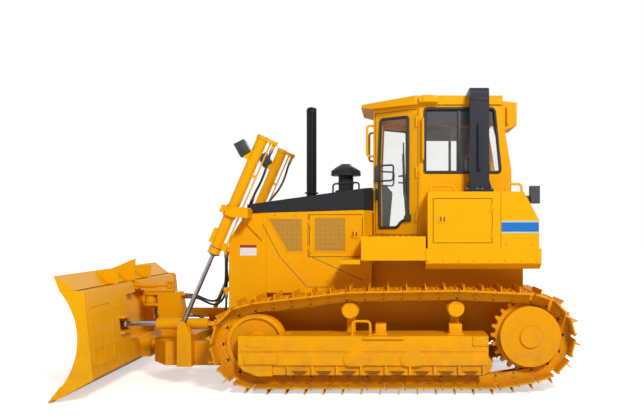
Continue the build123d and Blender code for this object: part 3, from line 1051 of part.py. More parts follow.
edge_back = [(2516.0, 143.0), (2600.0, 37.0), (2560.0, 37.0)]
edge_space = [edge_back[0], (EDGE_TOP[0] + 1, EDGE_TOP[1] + 1), (2700, 161), (2700, -50), (2640, -50),
              edge_back[1]]
with BuildPart() as blade:
    blade_section(BACK + edge_back[::-1], -BLADE_HALF + END_PLATE, BLADE_HALF - END_PLATE)
    with BuildSketch(Plane.XZ.offset(-POCKET_HALF)) as pocket:
        with BuildLine():
            Polyline((2100, POCKET_LOW_Z), (2600, POCKET_LOW_Z), (2600, POCKET_TOP_Z), (2100, POCKET_TOP_Z),
                     close=True)
        make_face()
        with Locations((arc_x, arc_z)):
            Circle(arc_radius + SKIN, mode=Mode.SUBTRACT)
    extrude(pocket.sketch, amount=2 * POCKET_HALF, mode=Mode.SUBTRACT)
    with BuildSketch(Plane.XZ.offset(-LINK_NOTCH)) as notch:
        with BuildLine():
            Polyline((2100, POCKET_TOP_Z - 1), (2600, POCKET_TOP_Z - 1), (2600, 1100), (2100, 1100),
                     close=True)
        make_face()
        with Locations((arc_x, arc_z)):
            Circle(arc_radius + SKIN, mode=Mode.SUBTRACT)
    extrude(notch.sketch, amount=2 * LINK_NOTCH, mode=Mode.SUBTRACT)
    for side in (1, -1):
        recess = sorted((side * (ANGLE_Y - 90), side * (ANGLE_Y + 150)))
        block((2100, 2344), recess, (ANGLE_Z - POCKET_RISE, ANGLE_Z + POCKET_RISE), Mode.SUBTRACT)
        ear = sorted((side * (ANGLE_Y - 91), side * (ANGLE_Y + 151)))
        for low, high in ((ANGLE_Z - POCKET_RISE + 2, ANGLE_Z - EAR_INSIDE),
                          (ANGLE_Z + EAR_INSIDE, ANGLE_Z + POCKET_RISE - 2)):
            block((ANGLE_EYE_X - 45, 2345), ear, (low, high))
    # the socket that holds the push frame's ball
    block((BALL_X - 30, 2300), (-120, 120), (BALL_Z - 110, BALL_Z + 110))
    with Locations((BALL_X, 0, BALL_Z)):
        Sphere(BALL_RADIUS + 0.4, mode=Mode.SUBTRACT)
    # the tilt cylinder's ears
    for x in (BALL_X - 50, BALL_X + 30):
        block((x, x + 20), (TILT_EYE_Y - 60, TILT_EYE_Y + 36), (TILT_Z - 40, TILT_Z + 40))
    block((BALL_X - 50, 2320), (TILT_EYE_Y - 120, TILT_EYE_Y - 58), (TILT_Z - 40, TILT_Z + 40))
    # the pitch link's ears
    for low, high in ((LINK_Z - 58, LINK_Z - 40), (LINK_Z + 40, LINK_Z + 58)):
        block((LINK_FRONT_X - 40, LINK_FRONT_X + 70), (-LINK_NOTCH - 1, LINK_NOTCH + 1), (low, high))
    side_plate(edge_space, -BLADE_HALF, BLADE_HALF, Mode.SUBTRACT)
save(blade, "blade")

END_TOP = [(2543, 1089), (2330, 1089), (2300, 1062)]
with BuildPart() as blade_ends:
    blade_section(END_TOP[1:] + [(2215, 224)] + edge_back[::-1], BLADE_HALF - END_PLATE, BLADE_HALF)
    side_plate(edge_space, 0, BLADE_HALF + 1, Mode.SUBTRACT)
    mirror(about=Plane.XZ)
save(blade_ends, "blade_ends")

with BuildPart() as cutting_edge:
    side_plate([EDGE_TOP, (TIP_X, EDGE_CLEARANCE), (TIP_X - 32, EDGE_CLEARANCE),
                (TIP_X - 56.7, 37), (TIP_X - 140.7, 143)],
               -BLADE_HALF, BLADE_HALF)
save(cutting_edge, "cutting_edge")

GUARD_TOP = (2595.0, 1228.0)
with BuildPart() as spill_guard:
    side_plate([(2400, 1089.3), (2540, 1089.3), GUARD_TOP, (2585, 1232)], -BLADE_HALF, BLADE_HALF)
    for y, apex in ((-600, 1246.0), (0, 1343.0), (600, 1246.0)):
        side_plate([(2330, 1089.3), (2420, 1089.3), (2600, 1228), (2330, apex)], y - 8, y + 8)
save(spill_guard, "spill_guard")

# ================================================================ hoses
def hose(points):
    """A hose along straight runs joined by the largest arcs that they allow."""
    corners = [Vector(*point) for point in points]
    with BuildPart() as tube:
        with BuildLine() as route:
            last = corners[0]
            for before, corner, after in zip(corners, corners[1:], corners[2:]):
                back, ahead = (before - corner).normalized(), (after - corner).normalized()
                tangent_length = 0.45 * min((before - corner).length, (after - corner).length)
                half_turn = (pi - back.get_angle(ahead) * pi / 180) / 2
                bend = tangent_length / tan(half_turn)
                print("hose bend", round(bend), "mm")
                inward = (back + ahead).normalized()
                middle = corner + inward * (bend / cos(half_turn) - bend)
                Line(last, corner + back * tangent_length)
                ThreePointArc(corner + back * tangent_length, middle, corner + ahead * tangent_length)
                last = corner + ahead * tangent_length
            Line(last, corners[-1])
        with BuildSketch(Plane(origin=corners[0], z_dir=(corners[1] - corners[0]).normalized())) as outline:
            Circle(HOSE_RADIUS)
        sweep(outline.sketch, path=route.line)
    return tube


for name, route in TOWER_HOSES.items():
    save(hose(route), name)
for side, name in ((1, "left"), (-1, "right")):
    save(hose([(x, side * y, z) for x, y, z in LIFT_HOSE]), f"hose_lift_{name}")
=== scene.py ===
"""The dozer's looks: materials, small parts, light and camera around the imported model."""
import math

import bmesh
import bpy
from mathutils import Matrix, Vector


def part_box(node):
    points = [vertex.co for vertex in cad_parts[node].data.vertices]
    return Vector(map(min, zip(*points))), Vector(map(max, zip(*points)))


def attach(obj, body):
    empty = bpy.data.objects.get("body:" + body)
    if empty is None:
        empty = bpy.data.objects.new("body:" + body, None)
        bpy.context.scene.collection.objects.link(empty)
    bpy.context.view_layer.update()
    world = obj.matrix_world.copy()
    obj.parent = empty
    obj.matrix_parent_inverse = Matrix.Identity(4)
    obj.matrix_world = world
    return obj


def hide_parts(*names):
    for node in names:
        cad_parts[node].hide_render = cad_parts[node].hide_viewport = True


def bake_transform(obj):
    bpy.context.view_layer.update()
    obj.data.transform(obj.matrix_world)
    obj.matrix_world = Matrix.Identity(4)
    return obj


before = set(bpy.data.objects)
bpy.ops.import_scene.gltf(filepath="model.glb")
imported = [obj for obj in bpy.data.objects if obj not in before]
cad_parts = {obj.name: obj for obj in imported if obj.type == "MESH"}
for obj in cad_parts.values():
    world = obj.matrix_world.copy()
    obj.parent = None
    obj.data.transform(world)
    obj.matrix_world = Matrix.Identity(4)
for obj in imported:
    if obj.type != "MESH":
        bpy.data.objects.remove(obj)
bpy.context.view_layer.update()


def add_object(name, data):
    """A new object in the scene."""
    obj = bpy.data.objects.new(name, data)
    bpy.context.scene.collection.objects.link(obj)
    return obj


def around(count, shift=0.0):
    """The cosines and sines of equal turns round a circle."""
    turns = [2 * math.pi * (i + shift) / count for i in range(count)]
    return [(math.cos(turn), math.sin(turn)) for turn in turns]


# ---- materials
PAINT_GLOSS = 0.1
COAT_ROUGH = 0.12
DUST, RUST = (0.2, 0.13, 0.06), (0.16, 0.08, 0.03)
WORN_YELLOW = (0.95, 0.52, 0.03)
WORN_REACH, EDGE_ROUND = 0.006, 0.005  # how far wear reaches from an edge, how round edges look


def fed(tree, node, values):
    """The node with its inputs filled: an output is linked, anything else is a constant."""
    for socket, value in values.items():
        if isinstance(value, bpy.types.NodeSocket):
            tree.links.new(value, node.inputs[socket])
        else:
            node.inputs[socket].default_value = value
    return node


def made(tree, kind, values):
    """A new shader node with its inputs filled."""
    return fed(tree, tree.nodes.new("ShaderNode" + kind), values)


def place(tree):
    """The shaded point in the piece's own coordinates."""
    return made(tree, "TexCoord", {}).outputs["Object"]


def shader(name, color, rough, metal=0.0, coat=0.0, gloss=0.5):
    """A new material, its node tree and its Principled shader."""
    material = bpy.data.materials.new(name)
    material.use_nodes = True
    tree = material.node_tree
    principled = fed(tree, tree.nodes["Principled BSDF"], {
        "Base Color": (*color, 1), "Roughness": rough, "Metallic": metal, "Coat Weight": coat,
        "Coat Roughness": COAT_ROUGH, "Specular IOR Level": gloss})
    return material, tree, principled


def noise(tree, scale, detail, stretch=(1, 1, 1)):
    """A noise texture in the piece's own coordinates, as a factor."""
    stretched = made(tree, "Mapping", {"Vector": place(tree), "Scale": stretch}).outputs["Vector"]
    return made(tree, "TexNoise", {"Vector": stretched, "Scale": scale, "Detail": detail}).outputs["Fac"]


def ramp(tree, source, low, high, low_value=0.0, high_value=1.0):
    """The source mapped from low..high to low_value..high_value."""
    return made(tree, "MapRange", {"Value": source, "From Min": low, "From Max": high, "To Min": low_value,
                                   "To Max": high_value}).outputs["Result"]


def combined(tree, operation, first, second):
    """The result of a math operation on two outputs."""
    node = made(tree, "Math", {0: first, 1: second})
    node.operation = operation
    return node.outputs["Value"]


FACTOR, COLOR_A, COLOR_B, COLOR_OUT = 0, 6, 7, 2  # the sockets of a Mix node that mixes colours


def mixed(tree, factor, first, second):
    """A colour between first and second; each is a colour or an output."""
    mix = made(tree, "Mix", {FACTOR: factor})
    mix.data_type = "RGBA"
    for socket, value in ((COLOR_A, first), (COLOR_B, second)):
        fed(tree, mix, {socket: (*value, 1) if isinstance(value, tuple) else value})
    return mix.outputs[COLOR_OUT]


def bumped(tree, principled, height, strength, distance):
    """Bump on the shader from a height output."""
    bump = made(tree, "Bump", {"Strength": strength, "Distance": distance, "Height": height})
    fed(tree, principled, {"Normal": bump.outputs["Normal"]})
    return bump


def rounded(tree, radius):
    """The normal as if sharp edges were rounded."""
    bevel = made(tree, "Bevel", {"Radius": radius})
    bevel.samples = 4
    return bevel.outputs["Normal"]


def edge_mask(tree, radius):
    """A mask that is 1 along sharp edges, where the rounded normal leaves the face's own."""
    plain = made(tree, "NewGeometry", {}).outputs["Normal"]
    dot = made(tree, "VectorMath", {0: rounded(tree, radius), 1: plain})
    dot.operation = "DOT_PRODUCT"
    return ramp(tree, dot.outputs["Value"], 0.995, 0.86)


def low_dirt(tree, high, most):
    """A mask that grows from 0 at a height to most at the ground, broken up by noise."""
    height = made(tree, "SeparateXYZ", {"Vector": place(tree)}).outputs["Z"]
    patches = ramp(tree, noise(tree, 9.0, 6.0), 0.35, 0.75)
    return combined(tree, "MULTIPLY", ramp(tree, height, 0.0, high, most, 0.0), patches)


def paint(name, color, rough=0.36, dirt=0.0, dirt_high=1.0, worn=WORN_YELLOW, wear=0.35):
    """Sprayed enamel: slight mottle, orange peel, pale worn edges and dust near the ground."""
    material, tree, principled = shader(name, color, rough, gloss=PAINT_GLOSS)
    mottle = ramp(tree, noise(tree, 2.2, 5.0), 0.3, 0.7, 0.0, 0.35)
    base = mixed(tree, mottle, color, tuple(c * 0.86 for c in color))
    if wear:
        scratches = ramp(tree, noise(tree, 26.0, 6.0), 0.42, 0.72, 0.0, wear)
        base = mixed(tree, combined(tree, "MULTIPLY", edge_mask(tree, WORN_REACH), scratches), base, worn)
    if dirt:
        base = mixed(tree, low_dirt(tree, dirt_high, dirt), base, DUST)
    roughness = ramp(tree, noise(tree, 14.0, 4.0), 0.3, 0.7, rough - 0.05, rough + 0.08)
    fed(tree, principled, {"Base Color": base, "Roughness": roughness})
    bump = bumped(tree, principled, noise(tree, 420.0, 2.0), 0.06, 0.0006)
    fed(tree, bump, {"Normal": rounded(tree, EDGE_ROUND)})
    return material


def metal(name, color, rough, grain, streak, dirt=0.0):
    """Bare metal with drawn grain."""
    material, tree, principled = shader(name, color, rough, 1.0)
    fine = noise(tree, 18.0, 4.0, grain)
    base = mixed(tree, ramp(tree, fine, 0.3, 0.7), color, tuple(c * 0.72 for c in color))
    if dirt:
        base = mixed(tree, ramp(tree, noise(tree, 7.0, 6.0), 0.45, 0.75, 0, dirt), base, RUST)
    roughness = ramp(tree, fine, 0.25, 0.75, rough - streak, rough + streak)
    fed(tree, principled, {"Base Color": base, "Roughness": roughness})
    bumped(tree, principled, fine, 0.08, 0.0005)
    return material


def soft(name, color, rough, scale, strength, distance):
    """Rubber, plastic, a lens or covered foam: one colour with a fine grain."""
    material, tree, principled = shader(name, color, rough)
    grain = noise(tree, scale, 4.0)
    patches = ramp(tree, noise(tree, 5.0, 5.0), 0.4, 0.8, 0, 0.6)
    base = mixed(tree, patches, color, tuple(min(1, c * 1.7 + 0.004) for c in color))
    roughness = ramp(tree, grain, 0.3, 0.7, rough - 0.08, rough + 0.08)
    fed(tree, principled, {"Base Color": base, "Roughness": roughness})
    bumped(tree, principled, grain, strength, distance)
    return material


def screen(name, color, hole_shade, scale):
    """Sheet with rows of punched holes in a side face, scale holes to the metre; the holes carry a dark
    painted shade.
    """
    material, tree, principled = shader(name, color, 0.5, coat=0.1)
    split = made(tree, "SeparateXYZ", {"Vector": place(tree)})
    flat = made(tree, "CombineXYZ", {"X": split.outputs["X"], "Y": split.outputs["Z"]})
    holes = made(tree, "TexVoronoi", {"Vector": flat.outputs["Vector"], "Randomness": 0.0, "Scale": scale})
    holes.voronoi_dimensions = "2D"
    solid = ramp(tree, holes.outputs["Distance"], 0.3, 0.36)
    roughness = ramp(tree, noise(tree, 30.0, 3.0), 0.3, 0.7, 0.42, 0.58)
    fed(tree, principled, {"Base Color": mixed(tree, solid, hole_shade, color), "Roughness": roughness})
    bumped(tree, principled, solid, 0.5, 0.002)
    return material


def glass(name, tint, through):
    """Safety glass: about that share of the light goes through, tinted; a smeared gloss takes the rest."""
    material, tree, principled = shader(name, tint, 0.04)
    fed(tree, principled, {"IOR": 1.45})
    clear = made(tree, "BsdfTransparent", {"Color": (*tint, 1)})
    smear = ramp(tree, noise(tree, 3.0, 5.0), 0.3, 0.8, 1 - through, 1 - through + 0.06)
    mix = made(tree, "MixShader", {"Fac": smear, 1: clear.outputs["BSDF"], 2: principled.outputs["BSDF"]})
    fed(tree, tree.nodes["Material Output"], {"Surface": mix.outputs["Shader"]})
    return material


paint_body = paint("enamel_yellow", (0.9, 0.4, 0.0))
paint_low = paint("enamel_yellow_low", (0.88, 0.375, 0.0), rough=0.38, dirt=0.5, dirt_high=0.7)
paint_track = paint("enamel_track", (0.8, 0.33, 0.0), rough=0.46, dirt=0.45, dirt_high=0.9,
                    worn=(0.86, 0.45, 0.05), wear=0.6)
# Painted shade: a dark brown for the shaded openings over the track rollers.
painted_shade_gap = paint("enamel_shaded_gap", (0.26, 0.1, 0.004), rough=0.6, dirt=0.3, dirt_high=0.9)
# Painted light: a brighter, yellower copy of the body enamel for the sunlit blade; its pale edges and dust
# are wear and dirt.
paint_blade_lit = paint("enamel_blade_lit", (0.92, 0.43, 0.0), dirt=0.35, worn=(0.92, 0.52, 0.08), wear=0.5)
paint_black = paint("enamel_black", (0.028, 0.028, 0.032), rough=0.3, worn=(0.12, 0.12, 0.12))
paint_dark = paint("enamel_dark", (0.032, 0.032, 0.042), rough=0.42, worn=(0.16, 0.16, 0.17))
stack_black = paint("enamel_stack", (0.012, 0.012, 0.014), rough=0.42, worn=(0.1, 0.09, 0.08))
blue = paint("stripe_blue", (0.02, 0.17, 0.5), rough=0.35, wear=0.0)
pale_blue = paint("stripe_pale", (0.42, 0.62, 0.8), rough=0.35, wear=0.0)
plate_white = paint("plate_white", (0.8, 0.8, 0.78), rough=0.4, wear=0.0)
chrome = metal("hard_chrome", (0.36, 0.37, 0.4), 0.2, (1, 1, 1), 0.04)
steel = metal("worn_steel", (0.3, 0.29, 0.28), 0.42, (1, 1, 8), 0.12, 0.5)
cast = soft("cast_grey", (0.1, 0.095, 0.09), 0.7, 160.0, 0.5, 0.002)
rubber = soft("black_rubber", (0.014, 0.014, 0.015), 0.55, 240.0, 0.25, 0.0006)
plastic = soft("black_plastic", (0.022, 0.022, 0.024), 0.5, 420.0, 0.2, 0.0004)
seat_cover = soft("seat_cover", (0.018, 0.018, 0.021), 0.62, 300.0, 0.5, 0.0012)
screen_steel = soft("screen_black", (0.02, 0.02, 0.022), 0.5, 90.0, 0.2, 0.0006)
lens_white = soft("lens_white", (0.62, 0.64, 0.66), 0.2, 60.0, 0.2, 0.001)
lens_dark = soft("lens_dark", (0.09, 0.095, 0.1), 0.15, 60.0, 0.2, 0.001)
lens_red = soft("lens_red", (0.3, 0.012, 0.01), 0.25, 60.0, 0.2, 0.001)
# Painted shade: the sheet is a darkened copy of the body yellow, and its holes are painted dark brown for the
# shade behind them.
perforated = screen("punched_screen", (0.62, 0.3, 0.004), (0.16, 0.075, 0.004), 72.0)
pane = glass("tinted_glass", (0.975, 0.98, 0.975), 0.985)

NODE_LOOKS = {
    paint_track: ("track_left", "track_right", "sprockets"),
    paint_low: ("idlers", "track_rollers", "carrier_rollers", "track_frames", "main_frame", "c_frame",
                "blade_swivel", "angle_knuckle_left", "angle_knuckle_right", "angle_barrel_left",
                "angle_barrel_right", "tilt_barrel", "pitch_link"),
    paint_blade_lit: ("blade", "blade_ends", "cutting_edge", "spill_guard"),
    paint_black: ("hood", "precleaner"),
    paint_dark: ("rops_arch",),
    stack_black: ("exhaust_stack",),
    chrome: ("lift_rod_left", "lift_rod_right", "angle_rod_left", "angle_rod_right", "tilt_rod"),
    steel: ("cross_shafts",),
    cast: ("engine_block",),
    plastic: ("cab_controls", "rear_lamps"),
    screen_steel: ("radiator_grille",),
    seat_cover: ("seat",),
    pane: ("cab_glass", "door_glass_left", "door_glass_right"),
}
look_of = {node: material for material, names in NODE_LOOKS.items() for node in names}
for node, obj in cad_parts.items():
    obj.data.materials.clear()
    obj.data.materials.append(look_of.get(node, paint_body))


# ---- camera, light, floor
camera_data = bpy.data.cameras.new("camera")
camera_data.sensor_width = 36.0
camera_data.lens = 46.12
camera_data.shift_x = -0.118
camera_data.shift_y = 0.0303
camera_data.clip_end = 100
camera = add_object("camera", camera_data)
camera.location = (-0.7255, 9.6, 1.69)
camera.rotation_euler = (math.radians(90), 0, math.radians(180))
bpy.context.scene.camera = camera
bpy.context.scene.view_settings.view_transform = "Standard"

# The sky is white to the camera, in reflections and through glass, and lights the dozer less.
SKY_LIGHT = 0.2
world = bpy.data.worlds.new("studio")
world.use_nodes = True
bpy.context.scene.world = world
sky_tree = world.node_tree
rays = made(sky_tree, "LightPath", {})
white = rays.outputs["Is Camera Ray"]
for output in ("Is Glossy Ray", "Is Transmission Ray"):
    white = combined(sky_tree, "MAXIMUM", white, rays.outputs[output])
strength = ramp(sky_tree, white, 0.0, 1.0, SKY_LIGHT, 1.0)
fed(sky_tree, sky_tree.nodes["Background"], {"Color": (1, 1, 1, 1), "Strength": strength})


def area_light(name, position, target, size, watts):
    """A soft square lamp aimed at a point."""
    data = bpy.data.lights.new(name, "AREA")
    data.size = size
    data.energy = watts
    lamp = add_object(name, data)
    lamp.location = position
    lamp.rotation_euler = (Vector(target) - Vector(position)).to_track_quat("-Z", "Y").to_euler()


area_light("key", (-5.0, 13.0, 9.5), (-0.2, 0, 1.2), 2.6, 1850)
area_light("fill", (8, 6, 4), (-0.5, 0, 1.2), 5, 90)
area_light("back", (-3, -9, 7), (0, 0, 1), 5, 420)
area_light("front", (10, -1, 4), (1, 0, 1), 4, 110)

# The floor keeps its shadows near the dozer and glows towards white farther out, for the camera alone.
FLOOR_HALF = 60
NEAR_REACH, FAR_REACH = 2.5, 8.0
NEAR_GLOW, FAR_GLOW = 0.55, 0.95
floor_mesh = bpy.data.meshes.new("floor")
floor_mesh.from_pydata([(x * FLOOR_HALF, y * FLOOR_HALF, 0) for x, y in ((-1, -1), (1, -1), (1, 1), (-1, 1))],
                       [], [(0, 1, 2, 3)])
floor = add_object("floor", floor_mesh)
floor_look, floor_tree, floor_shader = shader("floor", (0.9, 0.9, 0.9), 0.9)
distance = made(floor_tree, "VectorMath", {0: place(floor_tree)})
distance.operation = "LENGTH"
level = ramp(floor_tree, distance.outputs["Value"], NEAR_REACH, FAR_REACH, NEAR_GLOW, FAR_GLOW)
camera_ray = made(floor_tree, "LightPath", {}).outputs["Is Camera Ray"]
strength = combined(floor_tree, "MULTIPLY", camera_ray, level)
glow = made(floor_tree, "Emission", {"Color": (1, 1, 1, 1), "Strength": strength})
both = made(floor_tree, "AddShader", {0: floor_shader.outputs["BSDF"], 1: glow.outputs["Emission"]})
fed(floor_tree, floor_tree.nodes["Material Output"], {"Surface": both.outputs["Shader"]})
floor_mesh.materials.append(floor_look)


# ---- mesh pieces
def rectangle(left, right, low, high):
    """A rectangle's outline."""
    return [(left, low), (right, low), (right, high), (left, high)]


BEVEL_FROM, SHARP_FROM = 0.5, math.radians(34)  # angles between faces, in radians


class Shape:
    """Solids in metres, gathered into one mesh."""

    def __init__(self):
        self.mesh = bmesh.new()

    def solid(self, rings, bevel=0.0):
        """Rings of equally many points joined by faces, capped at both ends, with bevelled edges."""
        rows = [[self.mesh.verts.new(point) for point in ring] for ring in rings]
        faces = [self.mesh.faces.new((near[i - 1], near[i], far[i], far[i - 1]))
                 for near, far in zip(rows, rows[1:]) for i in range(len(near))]
        faces += [self.mesh.faces.new(rows[0]), self.mesh.faces.new(rows[-1])]
        bmesh.ops.recalc_face_normals(self.mesh, faces=faces)
        if bevel:
            edges = {edge for face in faces for edge in face.edges if edge.calc_face_angle(0) > BEVEL_FROM}
            bmesh.ops.bevel(self.mesh, geom=list(edges), offset=bevel, segments=2, profile=0.5,
                            affect="EDGES", clamp_overlap=True)
        return self

    def prism(self, outline, axis, low, high, bevel=0.002):
        """An outline pushed along an axis: (y, z) along x, (x, z) along y or (x, y) along z."""
        spot = "xyz".index(axis)
        rings = [[(*point[:spot], level, *point[spot:]) for point in outline] for level in (low, high)]
        return self.solid(rings, bevel)

    def box(self, low, high, bevel=0.002):
        """A box between two corners, given in any order."""
        low, high = [[pick(a, b) for a, b in zip(low, high)] for pick in (min, max)]
        return self.prism(rectangle(low[0], high[0], low[1], high[1]), "z", low[2], high[2], bevel)

    def turned(self, profile, origin, direction, sides):
        """A round form: (distance along the direction, radius) pairs from its origin."""
        origin, along = Vector(origin), Vector(direction).normalized()
        across = along.orthogonal().normalized()
        other = along.cross(across)
        rings = [[origin + along * run + (across * a + other * b) * radius for a, b in around(sides)]
                 for run, radius in profile]
        return self.solid(rings)

    def bolt(self, at, direction, size):
        """A hexagon head, size about half its width, on its washer."""
        self.turned([(-0.002, size * 1.4), (0.003, size * 1.4)], at, direction, 16)
        head = [(0, size * 1.1), (size * 0.65, size * 1.1), (size * 0.8, size * 0.9)]
        return self.turned(head, at, direction, 6)

    def tube(self, points, radius, sides=12):
        """A round tube swept through points, ring by ring."""
        points = [Vector(point) for point in points]
        across = (points[1] - points[0]).orthogonal().normalized()
        rings = []
        for index, point in enumerate(points):
            along = (points[min(index + 1, len(points) - 1)] - points[max(index - 1, 0)]).normalized()
            across = (across - along * across.dot(along)).normalized()
            other = along.cross(across)
            rings.append([point + (across * a + other * b) * radius for a, b in around(sides)])
        return self.solid(rings)

    def strip(self, points, width, normal, thick=0.003):
        """A flat band that follows points on a surface with the given normal."""
        normal = Vector(normal).normalized()
        for start, end in zip(points, points[1:]):
            start, end = Vector(start), Vector(end)
            side = (end - start).normalized().cross(normal) * width / 2
            base = [start - side, start + side, end + side, end - side]
            self.solid([base, [corner + normal * thick for corner in base]])
        return self

    def done(self, name, material, body="root"):
        """The finished piece, riding on a body; a hose rides on none."""
        mesh = bpy.data.meshes.new(name)
        self.mesh.to_mesh(mesh)
        self.mesh.free()
        for polygon in mesh.polygons:
            polygon.use_smooth = True
        mesh.set_sharp_from_angle(angle=SHARP_FROM)
        mesh.materials.append(material)
        obj = add_object(name, mesh)
        if body:
            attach(obj, body)
        return obj


def bent(points, radius, steps=6):
    """The points of a route with its corners rounded, for a bent bar."""
    points = [Vector(point) for point in points]
    route = [points[0]]
    for before, corner, after in zip(points, points[1:], points[2:]):
        into, out = (before - corner).normalized() * radius, (after - corner).normalized() * radius
        for step in range(steps + 1):
            share = step / steps
            route.append(corner + into * (1 - share) ** 2 + out * share ** 2)
    return route + [points[-1]]


def loop_handle(shape, points, radius, bend=0.03):
    """A bent bar on two feet, each with a small flange."""
    shape.tube(bent(points, bend), radius)
    for foot, along in ((points[0], points[1]), (points[-1], points[-2])):
        shape.turned([(0, radius * 2), (radius * 0.7, radius * 1.9), (radius, radius)], foot,
                     Vector(along) - Vector(foot), 20)


SIDES = ((1, "left"), (-1, "right"))


def flip(points, side):
    """Points mirrored to a side of the machine."""
    return [(x, y * side, z) for x, y, z in points]


# ---- hoses
HOSE_RADIUS = 0.013
TOWER_ROUTES = {
    "hose_tower_a": (1.165, [
        (1.740, 0.030, 0.925), (1.670, 0.030, 0.925), (1.590, 0.052, 0.912), (1.508, 0.096, 0.884),
        (1.428, 0.156, 0.862), (1.352, 0.228, 0.866), (1.286, 0.306, 0.906), (1.232, 0.380, 0.970),
        (1.196, 0.440, 1.052), (1.178, 0.482, 1.145), (1.172, 0.506, 1.242), (1.171, 0.514, 1.336),
        (1.171, 0.514, 1.415)]),
    "hose_tower_b": (1.160, [
        (1.735, -0.025, 0.890), (1.665, -0.025, 0.890), (1.586, -0.004, 0.874), (1.504, 0.038, 0.842),
        (1.424, 0.096, 0.818), (1.348, 0.166, 0.820), (1.282, 0.242, 0.860), (1.230, 0.314, 0.924),
        (1.196, 0.374, 1.004), (1.178, 0.420, 1.096), (1.172, 0.448, 1.194), (1.171, 0.458, 1.288),
        (1.171, 0.458, 1.368)]),
    "hose_tower_low": (0.930, [
        (1.690, 0.070, 0.690), (1.622, 0.070, 0.690), (1.546, 0.092, 0.672), (1.468, 0.134, 0.640),
        (1.392, 0.190, 0.616), (1.320, 0.256, 0.610), (1.262, 0.326, 0.636), (1.218, 0.388, 0.690),
        (1.190, 0.438, 0.758), (1.176, 0.470, 0.832), (1.171, 0.484, 0.908), (1.171, 0.484, 0.968)]),
}
LIFT_ROUTE = [(0.6264, 0.750, 2.534), (0.656, 0.750, 2.465), (0.676, 0.746, 2.385), (0.702, 0.736, 2.305),
              (0.735, 0.718, 2.228), (0.774, 0.690, 2.156), (0.814, 0.648, 2.100), (0.846, 0.602, 2.050),
              (0.872, 0.562, 2.000)]
COLLAR, COLLAR_RADIUS = 0.05, 0.0185
COLLAR_PROFILE = [(0, 0.0165), (0.006, COLLAR_RADIUS), (COLLAR - 0.008, COLLAR_RADIUS), (COLLAR, 0.0145)]


def hose(node, route, body):
    """A hydraulic hose along the NURBS curve of its route, with a crimped collar at each end."""
    curve = bpy.data.curves.new(node + "_route", "CURVE")
    curve.dimensions = "3D"
    spline = curve.splines.new("NURBS")
    spline.points.add(len(route) - 1)
    for point, spot in zip(spline.points, route):
        point.co = (*spot, 1)
    spline.order_u = 3
    spline.use_endpoint_u = True
    guide = bpy.data.objects.new(node + "_route", curve)
    line = bpy.data.meshes.new_from_object(guide)
    path = [vertex.co.copy() for vertex in line.vertices]
    bpy.data.objects.remove(guide)
    obj = Shape().tube(path, HOSE_RADIUS, 16).done(node + "_hose", rubber, None)
    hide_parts(node)
    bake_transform(obj)
    for end, (near, far), carrier in (("start", path[:2], body), ("end", path[:-3:-1], "root")):
        collar = Shape().turned(COLLAR_PROFILE, near, far - near, 20)
        collar.done(f"{node}_collar_{end}", steel, carrier)


for node, (length, route) in TOWER_ROUTES.items():
    hose(node, route, "c_frame")
for side, name in SIDES:
    hose(f"hose_lift_{name}", flip(LIFT_ROUTE, side), f"lift_barrel_{name}")


# ---- tracks
SPROCKET_AT, IDLER_AT = (-2.089, 0.577), (0.753, 0.49562)
SPROCKET_RADIUS = 0.38
TRACK_Y, SHOE_WIDTH, SHOES = 0.94, 0.56, 42
SHOE_TOP = 0.073  # the shoe's outer face, out from the bushings' line
LINK_AWAY, LINK_HALF = 0.061, 0.0205  # a link plate's place beside the track's middle, half its thickness
PIN_END = 0.0195  # where a pin's head starts, out from the link plate's middle
CHAIN_CIRCLES = [(*IDLER_AT, 0.36562), (-0.228, 0.84, 0.136), (-1.329, 0.857, 0.136),
                 (*SPROCKET_AT, SPROCKET_RADIUS), (-1.7564, 0.279, 0.149)]
ARC_STEPS = 60


def chain_points():
    """The bushings' centres along the belt line round the chain's circles: (x, z)."""
    legs = []
    for a, b in zip(CHAIN_CIRCLES, CHAIN_CIRCLES[1:] + CHAIN_CIRCLES[:1]):
        gap = math.hypot(b[0] - a[0], b[1] - a[1])
        normal = math.atan2(b[1] - a[1], b[0] - a[0]) - math.pi / 2 + math.asin((a[2] - b[2]) / gap)
        legs.append([(c[0] + c[2] * math.cos(normal), c[1] + c[2] * math.sin(normal)) for c in (a, b)])
    line = []
    for index, (x, z, radius) in enumerate(CHAIN_CIRCLES):
        arrive, leave = legs[index - 1][1], legs[index][0]
        first = math.atan2(arrive[1] - z, arrive[0] - x)
        turn = (math.atan2(leave[1] - z, leave[0] - x) - first) % (2 * math.pi)
        angles = [first + turn * step / ARC_STEPS for step in range(ARC_STEPS + 1)]
        line += [(x + radius * math.cos(angle), z + radius * math.sin(angle)) for angle in angles]
    runs = [math.dist(a, b) for a, b in zip(line, line[1:] + line[:1])]
    pitch = sum(runs) / SHOES
    rear = (SPROCKET_AT[0] - SPROCKET_RADIUS, SPROCKET_AT[1])
    wanted = sum(runs[:min(range(len(line)), key=lambda i: math.dist(line[i], rear))])
    marks = sorted((wanted + number * pitch) % sum(runs) for number in range(SHOES))
    points, done_run = [], 0.0
    for (start, end), run in zip(zip(line, line[1:] + line[:1]), runs):
        while marks and run and marks[0] <= done_run + run:
            share = (marks.pop(0) - done_run) / run
            points.append(tuple(a + share * (b - a) for a, b in zip(start, end)))
        done_run += run
    return points, pitch


CHAIN, PITCH = chain_points()
